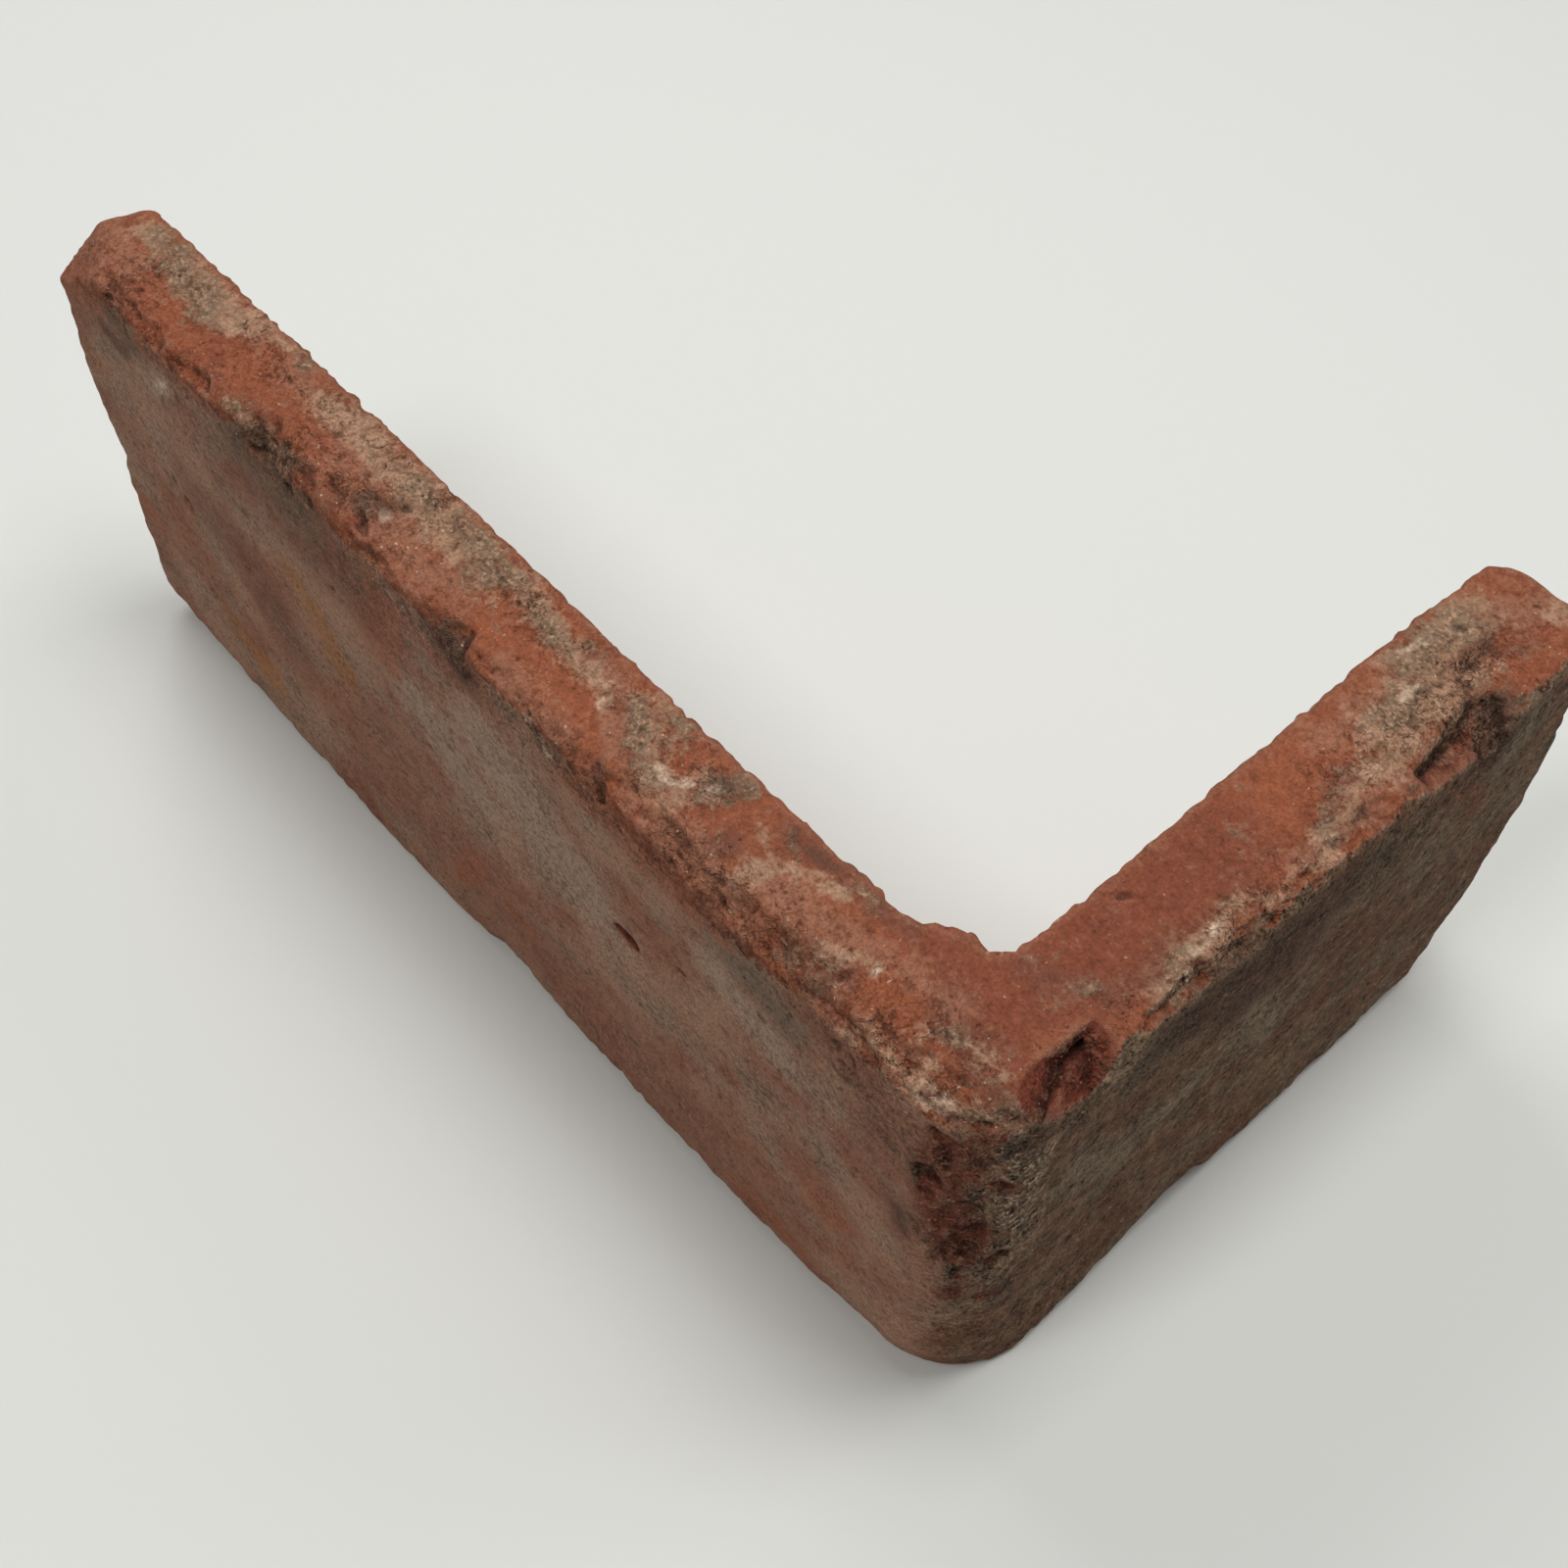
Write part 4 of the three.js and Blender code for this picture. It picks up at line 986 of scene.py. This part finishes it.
class Clay(Graph):
    """The colours and bumps of the clay, from noise and from the coats painted on the mesh."""

    def __init__(self, tree):
        super().__init__(tree)
        self.place = self.add("ShaderNodeTexCoord").outputs["Object"]
        self.broad = self.noise(18, 5, 0.62)
        self.clusters = self.noise(11, 5, 0.62)
        self.patchy = self.noise(5.5, 5, 0.62)
        self.mottle = self.noise(2.4, 4, 0.65)
        self.fine = self.noise(1.1, 4, 0.65)
        self.pocks = self.noise(1.0, 3, 0.6)
        self.grains = self.noise(0.7, 1, 0.4)
        self.grain = self.noise(0.42, 2, 0.6)
        self.edge = self.total((self.patchy, 0.3), (self.mottle, 0.35), (self.fine, 0.35))
        self.crumb, self.header, self.skin = map(self.coat, ("crumb", "header", "skin"))
        self.rough = self.total((self.crumb, 0.45), offset=0.35)
        self.stone = self.worn("stone", 4.0, 0.28, 0.85)
        # the colour of the painted highlights
        self.highlight = self.mix(self.header, SALMON, OLIVE_SAGE)

    def noise(self, size, detail, rough):
        """Noise from 0 to 1 with features of that size, each moved by its own shift."""
        shift = [size * share for share in NOISE_SHIFT]
        shifted = self.feed(self.add("ShaderNodeVectorMath"), {0: self.place, 1: shift})
        node = self.feed(self.add("ShaderNodeTexNoise"), {
            "Vector": shifted.outputs[0], "Scale": 1 / (size * MM), "Detail": detail,
            "Roughness": rough,
        })
        return node.outputs["Fac"]

    def coat(self, name):
        return self.add("ShaderNodeAttribute", attribute_name=name).outputs["Fac"]

    def worn(self, name, reach, width, most=None):
        """The coat as a mask whose edge the noise breaks up."""
        shifted = self.total((self.coat(name), 1.0), (self.edge, reach), offset=-0.5 * reach)
        return self.ramp(shifted, 0.5 - width, 0.5 + width, most)


def core_colour(g):
    """Bare clay, where the skin is worn away."""
    umber = g.total((g.crumb, 0.3), offset=0.12)
    return g.over(
        g.mix(g.ramp(g.patchy, 0.32, 0.68), ORANGE, BRICK),
        (g.ramp(g.clusters, 0.5, 0.68, 0.35), SALMON),
        (g.ramp(g.fine, 0.5, 0.74, umber), UMBER),
        (g.worn("orange", 3.0, 0.35, 0.6), ORANGE),
        (g.worn("brick", 2.0, 0.35, 0.85), BRICK),
        (g.worn("brown", 3.0, 0.35, 0.6), PLUM),
    )


def skin_colour(g):
    """The weathered skin of the stretcher face, and the darker one of the header face."""
    light = g.over(
        g.mix(g.ramp(g.broad, 0.40, 0.60), TAUPE, SKIN_RED),
        (g.ramp(g.clusters, 0.46, 0.62, 0.6), SKIN_GREY),
        (g.worn("red", 2.6, 0.45, 0.75), SKIN_RED),
        (g.ramp(g.mottle, 0.5, 0.68, 0.5), SKIN_RED),
        (g.worn("sage", 3.2, 0.45, 0.8), SAGE),
        (g.worn("dusk", 3.2, 0.35, 0.8), DUSK),
    )
    dull = g.over(
        g.mix(g.ramp(g.broad, 0.42, 0.58), OLIVE, OLIVE_RED),
        (g.worn("red", 3.0, 0.45, 0.6), OLIVE_RED),
        (g.ramp(g.clusters, 0.46, 0.62, 0.5), OLIVE_SAGE),
        (g.worn("sage", 3.2, 0.4, 0.8), OLIVE_SAGE),
    )
    return g.over(
        g.mix(g.header, light, dull),
        (g.worn("rust", 3.5, 0.3, 0.75), g.mix(g.header, RUST, DULL_RUST)),
        (g.worn("salmon", 3.5, 0.4, 0.55), g.mix(g.header, SALMON, OLIVE)),
    )


def mortar_colour(g):
    lit = g.total((g.patchy, 0.5), (g.mottle, 0.5))
    crust = g.mix(g.ramp(lit, 0.44, 0.6), MORTAR, PALE_MORTAR)
    return g.mix(g.ramp(g.fine, 0.46, 0.34, 0.35), crust, PIT_BROWN)


def stone_colour(g):
    bright = g.mix(g.header, PALE_MORTAR, CREAM)
    stony = g.mix(g.ramp(g.grains, 0.5, 0.66), STONE, bright)
    return g.mix(g.ramp(g.fine, 0.47, 0.36, 0.45), stony, PIT_BROWN)


def stained(g, colour):
    """The colour under its stains, its film of salmon dust, mortar, stones and dark patches, whose
    strokes also paint shade into the hollows and chips.
    """
    bare = g.math("SUBTRACT", 1.0, g.skin)
    film = g.math("MAXIMUM", g.worn("salmon", 4.0, 0.4), g.worn("mortar", 4.5, 0.5))
    mortar = g.total((g.header, -0.5), offset=1.0)
    return g.over(
        colour,
        (g.worn("ochre", 3.0, 0.35, 0.6), OCHRE),
        (g.worn("plum", 3.5, 0.4, 0.5), PLUM),
        (g.times(film, bare, 0.68), SALMON),
        (g.times(g.worn("mortar", 3.6, 0.35, 0.85), mortar), mortar_colour(g)),
        (g.stone, stone_colour(g)),
        (g.worn("pale", 2.0, 0.3, 0.8), CREAM),
        # dark strokes: dark patches, and painted shade in the hollows, chips, recess and scar
        (g.worn("dark", 4.0, 0.35, 0.7), DARK_PATCH_AND_SHADE),
    )


def broken(g, colour):
    """The colour with the torn and the freshly broken clay, and painted shadow lines in its clefts
    and creases and under its steps.
    """
    torn = g.over(
        g.mix(g.ramp(g.patchy, 0.38, 0.62), TORN, FRESH),
        (g.ramp(g.mottle, 0.48, 0.64, 0.7), FRESH_DARK),
        (g.ramp(g.grains, 0.6, 0.7, 0.5), MORTAR),
    )
    fresh = g.mix(g.ramp(g.fine, 0.44, 0.70, 0.7), FRESH, FRESH_DARK)
    deep = g.ramp(g.coat("cut"), SHALLOWEST_CUT, SHALLOW_CUT)
    return g.over(
        colour,
        (g.worn("torn", 3.2, 0.22, 0.9), torn),
        (g.times(g.worn("fresh", 2.0, 0.25), deep), fresh),
        # painted shadow lines in the clefts and under the steps
        (g.worn("cleft_shade", 1.4, 0.3, 0.85), CLEFT_SHADE),
    )


def sawn_colour(g):
    """The backs that the saw left: the clay's body, its white grains and its pores."""
    return g.over(
        g.mix(g.ramp(g.patchy, 0.35, 0.7), SAWN, BRICK),
        (g.ramp(g.grains, 0.64, 0.72, 0.6), CREAM),
        (g.ramp(g.pocks, 0.64, 0.72, 0.6), UMBER),
    )


def pore_mask(g):
    """Where the small dark pores are."""
    pores = (g.pocks, 1.0), (g.clusters, 0.8), (g.skin, 0.06), (g.crumb, 0.04)
    return g.ramp(g.total(*pores, offset=-0.41), 0.68, 0.78)


def hairline_mask(g):
    """Where the hairline cracks are."""
    off_line = g.math("ABSOLUTE", g.total((g.noise(3.4, 3, 0.6), 1.0), offset=-0.5))
    lines = g.ramp(off_line, 0.022, 0.004)
    return g.times(lines, g.ramp(g.clusters, 0.44, 0.56), g.rough)


def speckled(g, colour, pores, hairlines):
    """The colour with its pores, dots, hairlines and grains of lime, painted shade in its low spots
    and cavities, and painted highlights on its raised spots and bulges.
    """
    dots = (g.noise(0.62, 1, 0.4), 1.0), (g.patchy, 0.5), (g.header, 0.03)
    dots = g.ramp(g.total(*dots, offset=-0.25), 0.62, 0.72)
    shaded_low_spots = g.ramp(g.total((g.fine, 0.6), (g.mottle, 0.4)), 0.45, 0.34)
    lit_high_spots = g.ramp(g.total((g.fine, 0.5), (g.grains, 0.5)), 0.56, 0.68)
    lime = g.ramp(g.noise(0.75, 1, 0.4), 0.74, 0.79)
    cavity = g.coat("cavity")
    return g.over(
        colour,
        (g.times(pores, g.total((g.skin, -0.2), offset=0.5)), PORE_AND_LOW_SHADE),
        (g.times(dots, g.total((g.skin, 0.3), offset=0.1)), UMBER),
        # painted shade in the low spots of the fine relief
        (g.times(shaded_low_spots, g.times(g.rough, 0.35)), PORE_AND_LOW_SHADE),
        (g.times(hairlines, 0.4), UMBER),
        # painted highlight on the raised spots of the fine relief
        (g.times(lit_high_spots, g.times(g.rough, 0.5)), g.highlight),
        (g.times(lime, g.total((g.crumb, 0.5), offset=0.35)), CREAM),
        # painted shade in the sunk places, and a painted highlight on the raised ones
        (g.ramp(cavity, 0.54, 0.78, 0.5), CAVITY_SHADE),
        (g.ramp(cavity, 0.46, 0.3, 0.3), g.highlight),
    )


def grained(g, colour):
    """The colour made lighter and darker by the grain."""
    grain = (g.grain, 0.9), (g.fine, 0.7), (g.mottle, 0.6), (g.patchy, 0.4)
    contrast = g.total((g.header, 1.9), (g.crumb, 0.7), (g.skin, 0.5), offset=1.15)
    level = g.times(g.total(*grain, offset=-1.3), contrast)
    level = g.math("ADD", level, 1.0)
    grey = g.add("ShaderNodeCombineColor")
    g.feed(grey, {"Red": level, "Green": level, "Blue": level})
    return g.mix(1.0, colour, grey.outputs["Color"], "MULTIPLY")


def bump(g, pores, hairlines):
    """Normals for the relief that is too fine for the mesh."""
    height = (g.fine, 0.6), (g.mottle, 0.5), (g.grain, 0.3)
    height = g.total(*height, (pores, -0.35), (hairlines, -0.4))
    coarse = g.total((g.crumb, 1.0), (g.stone, 0.5), (g.header, 0.5), offset=0.8)
    node = g.feed(g.add("ShaderNodeBump"), {
        "Strength": 1.0, "Distance": BUMP_HEIGHT * MM, "Height": g.times(height, coarse),
    })
    return node.outputs["Normal"]


def clay_material():
    material = bpy.data.materials.new("fired_clay_worn")
    material.use_nodes = True
    tree = material.node_tree
    tree.nodes.clear()
    g = Clay(tree)
    pores, hairlines = pore_mask(g), hairline_mask(g)
    colour = g.mix(g.worn("skin", 2.2, 0.2), core_colour(g), skin_colour(g))
    colour = broken(g, stained(g, colour))
    colour = g.mix(g.coat("sawn"), colour, sawn_colour(g))
    shader = g.feed(g.add("ShaderNodeBsdfPrincipled"), {
        "Base Color": grained(g, speckled(g, colour, pores, hairlines)),
        "Roughness": g.scaled(g.fine, (0.3, 0.7), (0.82, 0.98)),
        "Specular IOR Level": SHEEN,
        "Normal": bump(g, pores, hairlines),
    })
    output = g.add("ShaderNodeOutputMaterial")
    tree.links.new(shader.outputs["BSDF"], output.inputs["Surface"])
    return material


slip = slip_object()
bpy.context.scene.collection.objects.link(slip)
slip.data.materials.append(clay_material())
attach(slip, "root")
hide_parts("corner_slip")

# ---- Floor, light and camera ----

FLOOR_HALF = 2.5  # metres
FLOOR_DROP = 0.05  # how far below the foot of the slip the floor lies
FLOOR_TONE = tone(227, 228, 223)
FLOOR_ROUGHNESS, FLOOR_SPECULAR = 0.7, 0.15
AMBIENT = (0.13, 0.13, 0.13, 1)  # what the world gives the object
BACKDROP = (0.76, 0.76, 0.73, 1)  # what the camera sees of it
LAMPS = (  # name, azimuth and elevation in degrees, share, distance and size in metres
    ("lamp_overhead", 30, 78, 0.262, 0.8, 0.25),
    ("lamp_above", 90, 87, 0.105, 1.3, 0.2),
    ("lamp_behind", 60, 45, 0.095, 1.0, 0.4),
    ("lamp_left", 169, 54, 0.245, 0.9, 0.45),
    ("lamp_front", 272, 62, 0.203, 1.2, 0.25),
)
SENSOR_WIDTH, FOCAL_LENGTH = 36.0, 48.67  # millimetres
CLIP_START = 0.01  # metres
CAMERA_PLACE = Vector((0.153936, -0.138677, 0.305091))  # metres
CAMERA_RIGHT = Vector((0.66597, 0.74592, 0.00933))
CAMERA_DOWN = Vector((0.62336, -0.54958, -0.55622))
CAMERA_FORWARD = Vector((-0.40977, 0.37625, -0.83098))


def floor_object():
    half = FLOOR_HALF
    corners = [(-half, -half, 0), (half, -half, 0), (half, half, 0), (-half, half, 0)]
    mesh = bpy.data.meshes.new("floor")
    mesh.from_pydata(corners, [], [(0, 1, 2, 3)])
    material = bpy.data.materials.new("pale_floor")
    material.use_nodes = True
    shader = material.node_tree.nodes["Principled BSDF"]
    shader.inputs["Base Color"].default_value = FLOOR_TONE
    shader.inputs["Roughness"].default_value = FLOOR_ROUGHNESS
    shader.inputs["Specular IOR Level"].default_value = FLOOR_SPECULAR
    mesh.materials.append(material)
    floor = bpy.data.objects.new("floor", mesh)
    floor.location.z = -FLOOR_DROP * MM
    bpy.context.scene.collection.objects.link(floor)


def lamp(name, azimuth, elevation, share, distance, size):
    """A soft square lamp. The azimuth is counted from +X to +Y. A white level surface at the origin
    shows as bright as the share says."""
    turn, rise = np.radians(azimuth), np.radians(elevation)
    towards = Vector((np.cos(turn) * np.cos(rise), np.sin(turn) * np.cos(rise), np.sin(rise)))
    data = bpy.data.lights.new(name, "AREA")
    data.shape = "SQUARE"
    data.size = size
    data.energy = share * np.pi**2 * distance**2 / np.sin(rise)
    lit = bpy.data.objects.new(name, data)
    lit.location = towards * distance
    lit.rotation_mode = "QUATERNION"
    lit.rotation_quaternion = towards.to_track_quat("Z", "Y")
    bpy.context.scene.collection.objects.link(lit)


def world():
    made = bpy.data.worlds.new("studio")
    made.use_nodes = True
    tree = made.node_tree
    background = tree.nodes["Background"]
    background.inputs["Strength"].default_value = 1.0
    graph = Graph(tree)
    seen = graph.add("ShaderNodeLightPath").outputs["Is Camera Ray"]
    graph.feed(background, {"Color": graph.mix(seen, AMBIENT, BACKDROP)})
    bpy.context.scene.world = made


def camera():
    data = bpy.data.cameras.new("camera")
    data.sensor_width = SENSOR_WIDTH
    data.lens = FOCAL_LENGTH
    data.clip_start = CLIP_START
    seen = bpy.data.objects.new("camera", data)
    turn = Matrix((CAMERA_RIGHT, -CAMERA_DOWN, -CAMERA_FORWARD)).transposed()
    seen.matrix_world = Matrix.Translation(CAMERA_PLACE) @ turn.to_4x4()
    bpy.context.scene.collection.objects.link(seen)
    bpy.context.scene.camera = seen


floor_object()
for values in LAMPS:
    lamp(*values)
world()
camera()
bpy.context.scene.view_settings.view_transform = "Standard"
